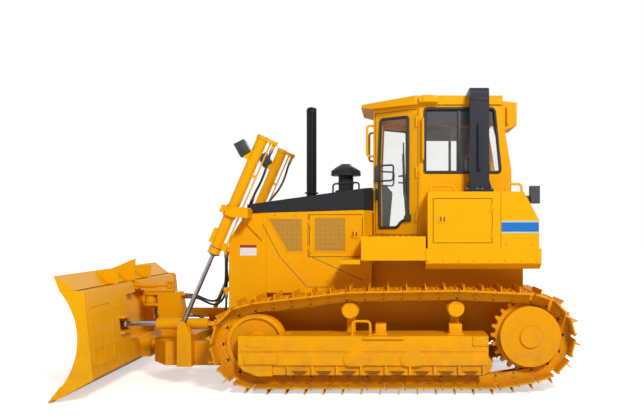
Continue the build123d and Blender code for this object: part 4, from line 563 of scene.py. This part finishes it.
# Outlines beside a link: along it as a share of the pitch, and out from the bushings' line in metres.
HALF_LINK = [(0.2, -0.028), (0.36, -0.044), (0.55, -0.04), (0.57, 0.0), (0.5, 0.034), (0.32, 0.052)]
LINK_OUTLINE = HALF_LINK + [(-share, away) for share, away in reversed(HALF_LINK)]
LIP_OUTLINE = [(0.36, SHOE_TOP), (0.47, SHOE_TOP), (0.49, SHOE_TOP + 0.016), (0.44, SHOE_TOP + 0.016)]
LIP_LENGTH, LIP_INSET = 0.268, 0.006
SHOE_BOLT_SHARES, SHOE_BOLT_SPREAD = (-0.12, 0.22), 0.03
PIN_HEAD = [(0, 0.022), (0.005, 0.022), (0.007, 0.017)]
# Round pieces on the sprocket and the idler. A profile holds distances out and radii.
COVER_Y, HUB_BOLTS_Y, RIM_AWAY = 1.012, 1.018, 0.048
COVER_PROFILE = [(0, 0.311), (0.014, 0.311), (0.02, 0.303), (0.024, 0.285), (0.024, 0.122), (0.05, 0.112),
                 (0.056, 0.104), (0.056, 0.01)]
# Painted shade: two dark discs on the drive cover stand for its two small holes.
HOLE_TURNS, HOLE_CIRCLE, HOLE_SHADE_OUT = (0.8, 3.9), 0.188, 0.023
HOLE_SHADE_PROFILE = [(0, 0.014), (0.005, 0.014), (0.005, 0.008)]
RIM_PROFILE = [(0, 0.285), (0.004, 0.268), (0.004, 0.12), (0.03, 0.1), (0.03, 0.02)]
HUB_BOLT_CIRCLE = 0.082


def link_place(here, after):
    """A link's middle, the direction along it and the direction out of the chain."""
    middle = Vector(((here[0] + after[0]) / 2, 0, (here[1] + after[1]) / 2))
    along = Vector((after[0] - here[0], 0, after[1] - here[1])).normalized()
    return middle, along, Vector((along.z, 0, -along.x))


def by_link(link, share, away):
    """A point by a link, a share of the pitch along it and a distance out."""
    middle, along, out = link
    return middle + along * share * PITCH + out * away


def track_pieces(side, name):
    """One side's links, shoe bolts, drive cover and idler rims."""
    links, bolts = Shape(), Shape()
    for here, after in zip(CHAIN, CHAIN[1:] + CHAIN[:1]):
        link = link_place(here, after)
        plate = [by_link(link, *point).xz for point in LINK_OUTLINE]
        lip = [by_link(link, *point).xz for point in LIP_OUTLINE]
        for way in (-1, 1):
            y = side * (TRACK_Y + way * LINK_AWAY)
            links.prism(plate, "y", y - LINK_HALF, y + LINK_HALF, 0.003)
            links.turned(PIN_HEAD, (here[0], y + side * way * PIN_END, here[1]), (0, side * way, 0), 16)
            for share in SHOE_BOLT_SHARES:
                spot = by_link(link, share, SHOE_TOP)
                for spread in (-SHOE_BOLT_SPREAD, SHOE_BOLT_SPREAD):
                    bolts.bolt((spot.x, y + spread, spot.z), link[2], 0.011)
            rim = side * TRACK_Y + way * (SHOE_WIDTH / 2 - LIP_INSET)
            links.prism(lip, "y", rim, rim - way * LIP_LENGTH, 0.002)
    links.done(f"track_links_{name}", paint_track)
    bolts.done(f"track_bolts_{name}", paint_track)

    cover, hole_shades, rims, bolts = Shape(), Shape(), Shape(), Shape()
    x, z = SPROCKET_AT
    cover.turned(COVER_PROFILE, (x, side * COVER_Y, z), (0, side, 0), 64)
    # Painted shade for the cover's two holes.
    for turn in HOLE_TURNS:
        a, b = HOLE_CIRCLE * math.cos(turn), HOLE_CIRCLE * math.sin(turn)
        hole_shades.turned(HOLE_SHADE_PROFILE, (x + a, side * (COVER_Y + HOLE_SHADE_OUT), z + b), (0, side, 0), 20)
    x, z = IDLER_AT
    for way in (-1, 1):
        rims.turned(RIM_PROFILE, (x, side * (TRACK_Y + way * RIM_AWAY), z), (0, side * way, 0), 64)
    for a, b in around(8):
        spot = (x + HUB_BOLT_CIRCLE * a, side * HUB_BOLTS_Y, z + HUB_BOLT_CIRCLE * b)
        bolts.bolt(spot, (0, side, 0), 0.01)
    hole_shades.done(f"cover_hole_shades_{name}", rubber)
    cover.done(f"drive_cover_{name}", paint_track)
    rims.done(f"idler_rim_{name}", paint_track)
    bolts.done(f"drive_bolts_{name}", paint_track)


# ---- track frames
FRAME_FACE, FRAME_TOP = 1.17, 0.585


def stadium(left, right, low, high):
    """The outline of a rectangle with half-round ends: (x, z)."""
    half, middle = (high - low) / 2, (high + low) / 2
    bow = [(half * math.cos(turn), half * math.sin(turn))
           for turn in [math.pi * (i / 8 - 0.5) for i in range(9)]]
    return [(right - half + a, middle + b) for a, b in bow] + [(left + half - a, middle - b) for a, b in bow]


SLOT_AT, SLOT_HALF, SLOT_STRETCH = (0.7366, 0.4976), (0.055, 0.028), 0.03
SLOT_LINE = [(SLOT_AT[0] + SLOT_HALF[0] * a + math.copysign(SLOT_STRETCH, a), SLOT_AT[1] + SLOT_HALF[1] * b)
             for a, b in around(16, 0.5)]
# Raised forms on the frame's side: outline, how far they stand out, bevel.
FRAME_FORMS = [
    (stadium(-0.4292, -0.1635, 0.282, 0.4332), 0.016, 0.004),  # two oval pads
    (stadium(-1.0116, -0.7459, 0.282, 0.4332), 0.016, 0.004),
    (rectangle(-0.7868, -0.3678, 0.56, 0.5895), 0.03, 0.004),  # ledge under the handle
    (rectangle(-1.6512, -1.4877, 0.4894, 0.588), 0.014, 0.004),  # bolted cover
    (rectangle(0.5109, 0.848, 0.3, 0.42), 0.012, 0.004),  # front panel
    (SLOT_LINE, 0.007, 0.001),
    (rectangle(-1.64, 0.88, 0.432, 0.446), 0.01, 0.003),  # bead along the frame
]
COVER_BOLT_X, COVER_BOLT_Z, COVER_OUT = (-1.635, -1.504), (0.505, 0.572), 0.014
CARRIER_STANDS = ((-0.6029, -0.4905), (-1.3897, -1.2568))
STAND_TOP, STAND_FOOT_TOP, STAND_FOOT_REACH = 0.7, 0.603, 0.02
HANDLE_X, HANDLE_Y, HANDLE_TOP = (-0.4394, -0.2555), 1.1, 0.735
# Openings over the rollers, between ribs: dark plates of painted shade stand in for them.
RIBS, RIB_FIRST_X, RIB_PITCH, RIB_HALF = 9, -1.6, 0.25, 0.012
RIB_Z, RIB_OUT = (0.192, 0.286), 0.014
WINDOW_Z, WINDOW_HALF = 0.232, (0.062, 0.036)
WINDOW_ARC = [(WINDOW_HALF[0] * math.cos(turn), WINDOW_HALF[1] * math.sin(turn))
              for turn in [math.pi * (1 + i / 12) for i in range(13)]]
SILL_X, SILL_Z = (0.045, 0.205), (0.236, 0.248)


def frame_pieces(side, name):
    """One side's raised forms, stands, handle, ribs and the painted shade in the openings over the rollers.
    """
    forms, bolts, window_shade = Shape(), Shape(), Shape()
    face = side * FRAME_FACE
    for outline, depth, bevel in FRAME_FORMS:
        forms.prism(outline, "y", face - side * 0.01, face + side * depth, bevel)
    for x in COVER_BOLT_X:
        for z in COVER_BOLT_Z:
            bolts.bolt((x, face + side * COVER_OUT, z), (0, side, 0), 0.011)
    for left, right in CARRIER_STANDS:
        forms.box((left, side * 0.9, FRAME_TOP), (right, side * 1.05, STAND_TOP), 0.006)
        forms.box((left - STAND_FOOT_REACH, side * 0.88, FRAME_TOP),
                  (right + STAND_FOOT_REACH, side * 1.08, STAND_FOOT_TOP), 0.004)
    handle = [(x, side * HANDLE_Y, z) for x, z in rectangle(*HANDLE_X, FRAME_TOP, HANDLE_TOP)]
    loop_handle(forms, [handle[0], handle[3], handle[2], handle[1]], 0.014, 0.05)
    for number in range(RIBS):
        x = RIB_FIRST_X + RIB_PITCH * number
        forms.box((x - RIB_HALF, face - side * 0.01, RIB_Z[0]),
                  (x + RIB_HALF, face + side * RIB_OUT, RIB_Z[1]), 0.003)
        if number == RIBS - 1:
            continue
        arc = [(x + RIB_PITCH / 2 + a, WINDOW_Z + b) for a, b in WINDOW_ARC]
        # Painted shade: a dark arch plate where the opening over a roller lies in shadow.
        window_shade.prism(arc, "y", face - side * 0.004, face + side * 0.002, 0.0)
        forms.prism(rectangle(x + SILL_X[0], x + SILL_X[1], *SILL_Z), "y", face - side * 0.004,
                    face + side * 0.008, 0.002)
    window_shade.done(f"roller_window_shade_{name}", painted_shade_gap)
    forms.done(f"track_frame_plates_{name}", paint_low)
    bolts.done(f"track_frame_bolts_{name}", paint_low)


for side, name in SIDES:
    track_pieces(side, name)
    frame_pieces(side, name)

# ---- engine side panels
HOOD_FACE = 0.545
FRONT_SCREEN = [(0.701, 1.805), (0.323, 1.805), (0.317, 1.425), (0.493, 1.425)]
REAR_SCREEN = [(0.197, 1.816), (-0.155, 1.816), (-0.155, 1.432), (0.197, 1.432)]
PANEL_SEAMS = ([(0.833, 1.871), (0.57, 1.377), (0.273, 1.048), (0.032, 1.048)],
               [(0.229, 1.382), (-0.33, 1.125)],
               [(0.262, 1.85), (0.262, 1.38), (-0.345, 1.38)])
PANEL_BOLTS = ((0.8, 1.74), (0.62, 1.84), (0.4, 1.84), (0.3, 1.34), (0.05, 1.12), (-0.25, 1.3),
               (0.45, 1.33), (0.88, 1.83), (-0.05, 1.2))
PLATE_X, PLATE_Z, BAND_LOW = (0.827, 1.009), (1.391, 1.509), 1.48


def framed(shape, outline, face, side, border, raised):
    """A raised frame along the outline of an opening in a side face."""
    middle = [sum(p[i] for p in outline) / len(outline) for i in (0, 1)]
    inner = [tuple(p[i] + (border if p[i] < middle[i] else -border) for i in (0, 1)) for p in outline]
    for i in range(len(outline)):
        edge = [outline[i - 1], outline[i], inner[i], inner[i - 1]]
        shape.prism(edge, "y", face, face + side * raised, 0.0015)


def latch_pieces(label, name, side, spot, body):
    """A painted latch plate with two dark slots, on a door's outer face."""
    x, y, z = spot
    latch, slots = Shape(), Shape()
    latch.box((x - 0.044, y, z - 0.04), (x + 0.044, y + side * 0.01, z + 0.04), 0.004)
    for middle in (x - 0.018, x + 0.018):
        slots.box((middle - 0.007, y + side * 0.009, z - 0.024),
                  (middle + 0.007, y + side * 0.012, z + 0.024))
    latch.done(f"{label}_{name}", paint_body, body)
    slots.done(f"{label}_slots_{name}", rubber, body)


for side, name in SIDES:
    face = side * HOOD_FACE
    for label, outline, body in (("front", FRONT_SCREEN, "root"),
                                 ("rear", REAR_SCREEN, f"engine_door_{name}")):
        Shape().prism(outline, "y", face - side * 0.001, face + side * 0.003, 0.0).done(
            f"side_screen_{label}_{name}", perforated, body)
        border = Shape()
        framed(border, outline, face, side, 0.012, 0.006)
        border.done(f"side_screen_rim_{label}_{name}", paint_body, body)
    seams = Shape()
    for line in PANEL_SEAMS:
        seams.strip([(x, face, z) for x, z in line], 0.006, (0, side, 0), 0.001)
    seams.done(f"panel_seams_{name}", rubber)
    latch_pieces("engine_latch", name, side, (-0.251, face, 1.632), f"engine_door_{name}")
    bolts = Shape()
    for x, z in PANEL_BOLTS:
        bolts.bolt((x, face, z), (0, side, 0), 0.01)
    bolts.done(f"panel_bolts_{name}", paint_body)
    for label, material, low, outs in (("blank_plate", plate_white, PLATE_Z[0], (0, 0.002)),
                                       ("plate_band", lens_red, BAND_LOW, (0.0015, 0.003))):
        outline = rectangle(*PLATE_X, low, PLATE_Z[1])
        plate = Shape().prism(outline, "y", face + side * outs[0], face + side * outs[1], 0.0)
        plate.done(f"{label}_{name}", material)

# ---- exhaust and pre-cleaner
STACK_X, STACK_HIGH, STACK_LOW = 0.28, 3.036, 2.095
CLEANER_X, CLEANER_NECK, CLEANER_BRIM = -0.12, 2.2, 2.331
FINS, FIN_CIRCLE, FIN_HALF, FIN_Z = 16, 0.168, 0.003, (2.303, 2.331)
pipe = Shape()
pipe.turned([(0, 0.0595), (0.026, 0.0595), (0.045, 0.053), (0.058, 0.038), (0.064, 0.018)],
            (STACK_X, 0, STACK_HIGH), (0, 0, 1), 40)
pipe.turned([(0, 0.082), (0.012, 0.082), (0.018, 0.066)], (STACK_X, 0, STACK_LOW), (0, 0, 1), 40)
pipe.done("stack_ends", stack_black)
cleaner = Shape()
cleaner.turned([(0, 0.093), (0.028, 0.093)], (CLEANER_X, 0, CLEANER_NECK), (0, 0, 1), 40)
for a, b in around(FINS):
    x, y = CLEANER_X + FIN_CIRCLE * a, FIN_CIRCLE * b
    cleaner.box((x - FIN_HALF, y - FIN_HALF, FIN_Z[0]), (x + FIN_HALF, y + FIN_HALF, FIN_Z[1]), 0.001)
cleaner.turned([(-0.026, 0.105), (0, 0.168), (0.018, 0.1735), (0.028, 0.17), (0.066, 0.12), (0.09, 0.082),
                (0.103, 0.06), (0.106, 0.02)], (CLEANER_X, 0, CLEANER_BRIM), (0, 0, 1), 48)
cleaner.turned([(0, 0.125), (0.018, 0.125), (0.026, 0.095)], (CLEANER_X, 0, 2.112), (0, 0, 1), 40)
loop_handle(cleaner, [(-0.286, 0.3, 2.121), (-0.286, 0.3, 2.21), (0.007, 0.3, 2.192),
                      (0.007, 0.3, 2.081)], 0.01, 0.035)
cleaner.done("precleaner_dome", paint_black)

# ---- cab
CAB_FRONT, CAB_CORNER = Vector((-0.45, 0.38, 0)), Vector((-0.96, 0.8, 0))
WALL_ALONG = (CAB_CORNER - CAB_FRONT).normalized()
WALL_OUT = Vector((WALL_ALONG.y, -WALL_ALONG.x, 0))
DOOR_WINDOW = [(0.095, 1.7), (0.345, 1.7), (0.395, 1.76), (0.5, 1.8), (0.5, 2.895), (0.11, 2.895),
               (0.085, 2.42)]
SIDE_WINDOW = [(-1.012, 2.29), (-1.818, 2.29), (-1.752, 2.968), (-1.012, 2.968)]
CAB_SIDE = 0.8
WINDOW_POST = ((-1.392, 0.772, 2.3), (-1.36, CAB_SIDE, 2.96))
TINT_STRIP = [(-1.018, 2.79), (-1.8, 2.79), (-1.755, 2.96), (-1.018, 2.96)]
# Blocks on the door: along the wall, height, out from it, bevel.
DOOR_BLOCKS = (((0.04, 0.113), (2.2075, 2.386), (0.0, 0.03), 0.006),  # latch housing
               ((0.05, 0.082), (2.008, 2.132), (0.0, 0.024), 0.004),  # lock
               ((0.47, 0.54), (1.765, 1.845), (0.0, 0.028), 0.006),  # wiper motor
               ((0.375, 0.47), (2.25, 2.268), (0.008, 0.02), 0.004))  # wiper's cross link
HANDLE_LINE = ((0.112, 2.215), (0.3, 2.215), (0.31, 2.385), (0.112, 2.385))
HANDLE_OUT = 0.018
WIPER_ARM = ((0.505, 1.82, 0.02), (0.478, 2.14, 0.024), (0.455, 2.36, 0.02))
WIPER_BLADE, WIPER_BLADE_OUT = ((0.458, 2.1), (0.474, 2.1), (0.452, 2.62), (0.438, 2.62)), (0.012, 0.02)
ROOF_LAMP = ((-1.15, 0.826, 3.024), (-0.95, 0.884, 3.1))
ROOF_LENS = ((-0.952, 0.834, 3.034), (-0.946, 0.876, 3.09))
DOOR_GAPS, DOOR_GAP_HALF, DOOR_GAP_Z = (0.031, 0.631), 0.002, (1.63, 2.962)


def on_wall(along, z, out, side):
    """A point on the angled cab wall, out from its face."""
    spot = CAB_FRONT + WALL_ALONG * along + WALL_OUT * out
    return Vector((spot.x, spot.y * side, z))


def wall_block(shape, along, heights, outs, side, bevel):
    """A block on the angled wall."""
    outline = rectangle(*along, *heights)
    shape.solid([[on_wall(u, z, out, side) for u, z in outline] for out in outs], bevel)


def seal(shape, points, radius=0.017):
    """A closed rubber bead along a window's edge."""
    shape.tube(bent(list(points) + [points[0]], 0.035, 4), radius, 10)


for side, name in SIDES:
    door = f"cab_door_{name}"
    rubbers = Shape()
    seal(rubbers, [on_wall(u, z, 0.001, side) for u, z in DOOR_WINDOW])
    rubbers.done(f"door_seal_{name}", rubber, door)
    rubbers = Shape()
    seal(rubbers, [(x, side * CAB_SIDE, z) for x, z in SIDE_WINDOW])
    rubbers.box(*flip(WINDOW_POST, side), 0.004)
    rubbers.done(f"side_window_seal_{name}", rubber)
    Shape().prism(TINT_STRIP, "y", side * 0.7805, side * 0.7815, 0.0).done(f"tint_strip_{name}", plastic)
    fittings = Shape()
    for along, heights, outs, bevel in DOOR_BLOCKS:
        wall_block(fittings, along, heights, outs, side, bevel)
    fittings.tube(bent([on_wall(u, z, HANDLE_OUT, side) for u, z in HANDLE_LINE], 0.04), 0.01)
    fittings.tube([on_wall(*point, side) for point in WIPER_ARM], 0.008)
    fittings.solid([[on_wall(u, z, out, side) for u, z in WIPER_BLADE] for out in WIPER_BLADE_OUT], 0.001)
    fittings.done(f"door_fittings_{name}", plastic, door)
    seams = Shape()
    for u in DOOR_GAPS:
        wall_block(seams, (u - DOOR_GAP_HALF, u + DOOR_GAP_HALF), DOOR_GAP_Z, (-0.006, 0.001), side, 0.0)
    seams.done(f"door_gap_seal_{name}", rubber)
    Shape().box(*flip(ROOF_LAMP, side), 0.01).done(f"roof_lamp_box_{name}", paint_body)
    Shape().box(*flip(ROOF_LENS, side), 0.003).done(f"roof_lamp_lens_{name}", lens_white)

# ---- roll-over arch
LEG_X, LEG_FOOT, LEG_OUT = (-1.675, -1.475), 2.099, 1.014
GUSSET_REACH, GUSSET_TOP = 0.034, 2.2
GUSSET_Y = ((0.915, 0.925), (0.995, 1.005))
SLEEVE_Z = (3.02, 3.05)
GRIP_X, GRIP_OUT, GRIP_Z = -1.567, 1.062, (2.776, 2.308)
FOOT_BOLT_Z, OUTER_BOLT_Y, INNER_BOLT_Y = 2.1, 1.042, 0.875
OUTER_BOLT_X, INNER_BOLT_X = (-1.695, -1.6, -1.55, -1.445), (-1.695, -1.445)
for side, name in SIDES:
    arch = Shape()
    for x, way in zip(LEG_X, (-1, 1)):
        for near, far in GUSSET_Y:
            arch.prism([(x, LEG_FOOT), (x + way * GUSSET_REACH, LEG_FOOT), (x, GUSSET_TOP)], "y",
                       side * near, side * far, 0.002)
    arch.prism(rectangle(*LEG_X, *SLEEVE_Z), "y", side * 1.013, side * 1.016, 0.001)
    grip = [(GRIP_X, LEG_OUT, GRIP_Z[0]), (GRIP_X, GRIP_OUT, GRIP_Z[0]), (GRIP_X, GRIP_OUT, GRIP_Z[1]),
            (GRIP_X, LEG_OUT, GRIP_Z[1])]
    loop_handle(arch, flip(grip, side), 0.013)
    arch.done(f"arch_fittings_{name}", paint_dark)
    bolts = Shape()
    for places, y in ((OUTER_BOLT_X, OUTER_BOLT_Y), (INNER_BOLT_X, INNER_BOLT_Y)):
        for x in places:
            bolts.bolt((x, side * y, FOOT_BOLT_Z), (0, 0, 1), 0.014)
    bolts.done(f"arch_bolts_{name}", steel)

# ---- side boxes and tank
BOX_FACE = 1.12
STRIPE_X = (-2.172, -1.79)
STRIPES = (("pale", pale_blue, (1.644, 1.767), 0.0016), ("deep", blue, (1.658, 1.753), 0.0026))
STEP_EDGES, TREAD_HALF = (1.372, 1.6), 0.006
STEP_BARS, STEP_BAR_X, STEP_BAR_PITCH, STEP_BAR_WIDTH = 9, -0.96, 0.065, 0.03
SPONSON_BOLTS = [(-2.15 + 0.16 * i, 1.36, 0.011) for i in range(8)] + [
    (-2.11, 1.53, 0.01), (-1.84, 1.53, 0.01)]
TANK_CAP = (-1.9, -0.95, 2.07)
LAMP_X, LAMP_Y = (-2.1935, -2.1895), (0.985, 1.075)
LAMP_LENSES = (("rear", lens_red, (2.045, 2.118)), ("reverse", lens_white, (1.962, 2.035)))
LOUVRES, LOUVRE_LOW, LOUVRE_PITCH, LOUVRE_HALF = 8, 2.88, 0.026, 0.26
for side, name in SIDES:
    face = side * BOX_FACE
    for label, material, (low, high), proud in STRIPES:
        Shape().box((STRIPE_X[0], face, low), (STRIPE_X[1], face + side * proud, high), 0.0).done(
            f"stripe_{label}_{name}", material)
    latch_pieces("box_latch", name, side, (-1.183, face, 1.788), f"box_door_{name}")
    treads = Shape()
    for z in STEP_EDGES:
        treads.box((-1.008, side * 0.56, z - TREAD_HALF), (-0.347, side * 1.108, z + TREAD_HALF), 0.003)
    for number in range(STEP_BARS):
        x = STEP_BAR_X + STEP_BAR_PITCH * number
        treads.box((x, side * 0.7, 1.6095), (x + STEP_BAR_WIDTH, side * 1.06, 1.6155), 0.002)
    treads.done(f"step_treads_{name}", paint_dark)
    bolts = Shape()
    for x, z, size in SPONSON_BOLTS:
        bolts.bolt((x, face, z), (0, side, 0), size)
    bolts.done(f"sponson_bolts_{name}", paint_body)
Shape().turned([(0, 0.062), (0.03, 0.062), (0.034, 0.056), (0.034, 0.02)], TANK_CAP, (0, 0, 1), 36).done(
    "tank_cap", paint_black)
for label, material, (low, high) in LAMP_LENSES:
    lamps = Shape()
    for side, _ in SIDES:
        lamps.box((LAMP_X[0], side * LAMP_Y[0], low), (LAMP_X[1], side * LAMP_Y[1], high), 0.003)
    lamps.done(f"{label}_lamp_lens", material)
louvres = Shape()
for number in range(LOUVRES):
    z = LOUVRE_LOW + LOUVRE_PITCH * number
    louvres.prism([(-2.066, z), (-2.059, z), (-2.059, z + 0.012)], "y", -LOUVRE_HALF, LOUVRE_HALF, 0.0)
loop_handle(louvres, [(-1.95, 0.33, 2.86), (-1.95, 0.368, 2.86), (-1.95, 0.368, 3.04), (-1.95, 0.33, 3.04)],
            0.011, 0.02)
louvres.done("housing_louvres", paint_body)

# ---- lift cylinders
# Distances along the barrel from its trunnion.
BAND_RUNS, GLAND_RUN, WIPER_RUN, CAP_RUN = (0.408, 0.478), 0.489, 0.49, -0.879
TRUNNION, LIFT_EYE, LIFT_Y = Vector((1.065, 0, 1.868)), Vector((1.588, 0, 0.651)), 0.75
LIFT_DOWN = (LIFT_EYE - TRUNNION).normalized()
LAMP_AT, LAMP_TURN = Vector((0.931, 0, 2.553)), math.radians(-28)
LAMP_FORWARD = Vector((math.cos(LAMP_TURN), 0, math.sin(LAMP_TURN)))
LAMP_UP = Vector((-LAMP_FORWARD.z, 0, LAMP_FORWARD.x))


def lamp_box(shape, forward, up, y_low, y_high, bevel):
    """A block in the tilted lamp's own frame."""
    corners = [LAMP_AT + LAMP_FORWARD * a + LAMP_UP * b for a, b in rectangle(*forward, *up)]
    shape.prism([corner.xz for corner in corners], "y", y_low, y_high, bevel)


for side, name in SIDES:
    barrel = f"lift_barrel_{name}"
    y = side * LIFT_Y
    shell, lens, fittings = Shape(), Shape(), Shape()
    lamp_box(shell, (-0.057, 0.057), (-0.077, 0.077), y - 0.069, y + 0.069, 0.008)
    lamp_box(shell, (0.05, 0.066), (-0.079, 0.079), y - 0.071, y + 0.071, 0.004)
    lamp_box(lens, (0.06, 0.069), (-0.064, 0.064), y - 0.057, y + 0.057, 0.003)
    shell.done(f"work_lamp_shell_{name}", plastic, barrel)
    lens.done(f"work_lamp_lens_{name}", lens_dark, barrel)
    start = Vector((TRUNNION.x, y, TRUNNION.z))
    for run in BAND_RUNS:
        fittings.turned([(0, 0.07), (0.01, 0.07)], start + LIFT_DOWN * run, LIFT_DOWN, 40)
    for a, b in around(8):
        across = Vector((-LIFT_DOWN.z, 0, LIFT_DOWN.x)) * a + Vector((0, 1, 0)) * b
        fittings.bolt(start + LIFT_DOWN * GLAND_RUN + across * 0.05, LIFT_DOWN, 0.007)
        fittings.bolt(start + LIFT_DOWN * CAP_RUN + across * 0.046, -LIFT_DOWN, 0.007)
    fittings.done(f"lift_fittings_{name}", steel, barrel)
    wiper = Shape()
    wiper.turned([(0, 0.04), (0.012, 0.038), (0.016, 0.0275)], start + LIFT_DOWN * WIPER_RUN, LIFT_DOWN, 32)
    wiper.done(f"rod_wiper_{name}", rubber, barrel)

# ---- blade
edge_low, edge_high = (Vector(corner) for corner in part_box("cutting_edge"))
EDGE_TOP_X, EDGE_TOP_Z = 2.535, 0.16
edge_run = Vector((edge_high.x - EDGE_TOP_X, 0, edge_low.z - EDGE_TOP_Z)).normalized()
edge_face = Vector((-edge_run.z, 0, edge_run.x))
EDGE_BOLTS, EDGE_BOLT_LAST, EDGE_BOLT_DOWN = 20, 1.56, 0.045
nuts = Shape()
for number in range(EDGE_BOLTS):
    y = EDGE_BOLT_LAST * (2 * number / (EDGE_BOLTS - 1) - 1)
    spot = Vector((EDGE_TOP_X, y, EDGE_TOP_Z)) + edge_run * EDGE_BOLT_DOWN
    nuts.turned([(-0.004, 0.02), (0.003, 0.018), (0.004, 0.012)], spot, edge_face, 20)
nuts.done("edge_bolts", steel, "blade")


def on_blade(y, z):
    """The point on the blade's back straight ahead of a height and width, at rest."""
    hit, spot, _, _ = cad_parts["blade"].ray_cast(Vector((1.9, y, z)), Vector((1, 0, 0)))
    return spot if hit else Vector((2.35, y, z))


RIB_LINES = (((0.98, 0.34), (1.56, 0.34), (1.56, 0.92), (0.98, 0.92), (0.98, 0.34)),
             ((0.98, 0.5), (1.56, 0.5)), ((1.27, 0.34), (1.27, 0.5)))
ribs = Shape()
for side, _ in SIDES:
    for line in RIB_LINES:
        corners = [Vector((0, side * y, z)) for y, z in line]
        if len(corners) > 2:
            corners = bent(corners, 0.05, 4)
        dense = [a.lerp(b, i / 6) for a, b in zip(corners, corners[1:]) for i in range(6)] + [corners[-1]]
        ribs.strip([on_blade(point.y, point.z) for point in dense], 0.016, (-1, 0, 0), 0.007)
ribs.done("blade_ribs", paint_blade_lit, "blade")

# ---- seat
SEAT_X, SEAT_LOW = -1.35, 1.66
PUFF_FRAMES, PUFF_MOST = 20, 0.008
CHANNELS, CHANNEL_HALF, CHANNEL_DEPTH = (-0.36, 0.36), 0.1, 0.008  # shares of the half width, depth


def cushion(name, centre, half, lean, crown):
    """A stitched foam cushion, puffed by cloth pressure, with piping along its seam."""
    turn = Matrix.Translation(centre) @ Matrix.Rotation(lean, 4, "Y")
    mesh = bmesh.new()
    bmesh.ops.create_cube(mesh, size=2)
    bmesh.ops.subdivide_edges(mesh, edges=mesh.edges[:], cuts=11, use_grid_fill=True)
    for vertex in mesh.verts:
        a, b, c = vertex.co
        round_x, round_y, round_z = (math.sqrt(max(0.0, 1 - (p * p + q * q) / 2 + p * p * q * q / 3))
                                     for p, q in ((b, c), (a, c), (a, b)))
        soft_x, soft_y = a * (0.72 + 0.28 * round_x), b * (0.72 + 0.28 * round_y)
        soft_z = c * (0.62 + 0.38 * round_z)
        pull = 1 - 0.035 * (1 - abs(b) ** 3) * abs(a) ** 6 - 0.035 * (1 - abs(a) ** 3) * abs(b) ** 6
        swell = crown * (1 - a * a) * (1 - b * b) * (1 if c > 0 else 0.0) * abs(c)
        vertex.co = Vector((soft_x * half[0] * pull, soft_y * half[1] * pull, soft_z * half[2] + swell))
    mesh.transform(turn)
    data = bpy.data.meshes.new(name)
    mesh.to_mesh(data)
    mesh.free()
    obj = add_object(name, data)
    before = [vertex.co.copy() for vertex in data.vertices]
    cloth = obj.modifiers.new("puff", "CLOTH")
    cloth.settings.use_pressure = True
    cloth.settings.uniform_pressure_force = 4
    cloth.settings.effector_weights.gravity = 0
    scene = bpy.context.scene
    for number in range(1, PUFF_FRAMES + 1):
        scene.frame_set(number)
    puffed = bpy.data.meshes.new_from_object(obj.evaluated_get(bpy.context.evaluated_depsgraph_get()))
    obj.modifiers.clear()
    for vertex, start, moved in zip(data.vertices, before, puffed.vertices):
        shift = moved.co - start
        vertex.co = start + shift * min(1.0, PUFF_MOST / max(shift.length, 1e-6))
    bpy.data.meshes.remove(puffed)
    scene.frame_set(1)
    above = turn.to_3x3() @ Vector((0, 0, 1))
    for vertex, local in zip(data.vertices, [turn.inverted() @ vertex.co for vertex in data.vertices]):
        for line in CHANNELS:
            near = abs(local.y / half[1] - line)
            if local.z > 0 and near < CHANNEL_HALF:
                vertex.co -= above * CHANNEL_DEPTH * (1 - near / CHANNEL_HALF)
    for polygon in data.polygons:
        polygon.use_smooth = True
    obj.modifiers.new("smooth", "SUBSURF").levels = 1
    obj.modifiers["smooth"].render_levels = 1
    data.materials.append(seat_cover)
    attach(obj, "root")
    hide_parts("seat")
    piping = Shape()
    ring = [Vector((math.copysign(abs(a) ** 0.28, a) * half[0] * 0.93,
                    math.copysign(abs(b) ** 0.28, b) * half[1] * 0.95,
                    half[2] * 0.28)) for a, b in around(48)]
    piping.tube([turn @ point for point in ring + ring[:1]], 0.0045, 8)
    piping.done(f"{name}_piping", rubber)


cushion("seat_cushion", Vector((SEAT_X, 0, 1.893)), (0.245, 0.235, 0.06), 0.0, 0.01)
cushion("seat_back", Vector((SEAT_X - 0.235, 0, 2.255)), (0.295, 0.225, 0.05), math.radians(-83.5), 0.008)
BELLOWS, BELLOWS_STEP = 5, 0.03
base = Shape()
for level in range(BELLOWS):
    inset, low = 0.004 * (level % 2), SEAT_LOW + BELLOWS_STEP * level
    wide, deep = 0.165 - inset, 0.155 - inset
    base.box((SEAT_X - wide, -deep, low), (SEAT_X + wide, deep, low + 0.028), 0.006)
base.box((SEAT_X - 0.2, -0.19, SEAT_LOW + 0.15), (SEAT_X + 0.2, 0.19, SEAT_LOW + 0.172), 0.006)
for side, _ in SIDES:
    base.box((SEAT_X - 0.15, side * 0.245, 2.055), (SEAT_X + 0.14, side * 0.285, 2.095), 0.012)
    base.tube([(SEAT_X - 0.2, side * 0.262, 2.02), (SEAT_X - 0.12, side * 0.262, 2.055)], 0.012)
seat_base = base.done("seat_base", plastic)
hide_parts("seat")
inside = Shape()
for y in (-0.33, 0.33):
    inside.turned([(0, 0.012), (0.02, 0.024), (0.055, 0.026), (0.075, 0.016)], (SEAT_X + 0.33, y, 2.27),
                  (0.25, 0, 1), 20)
inside.box((-0.535, -0.2, 2.145), (-0.5, 0.2, 2.175), 0.008)
inside.done("cab_knobs", rubber)
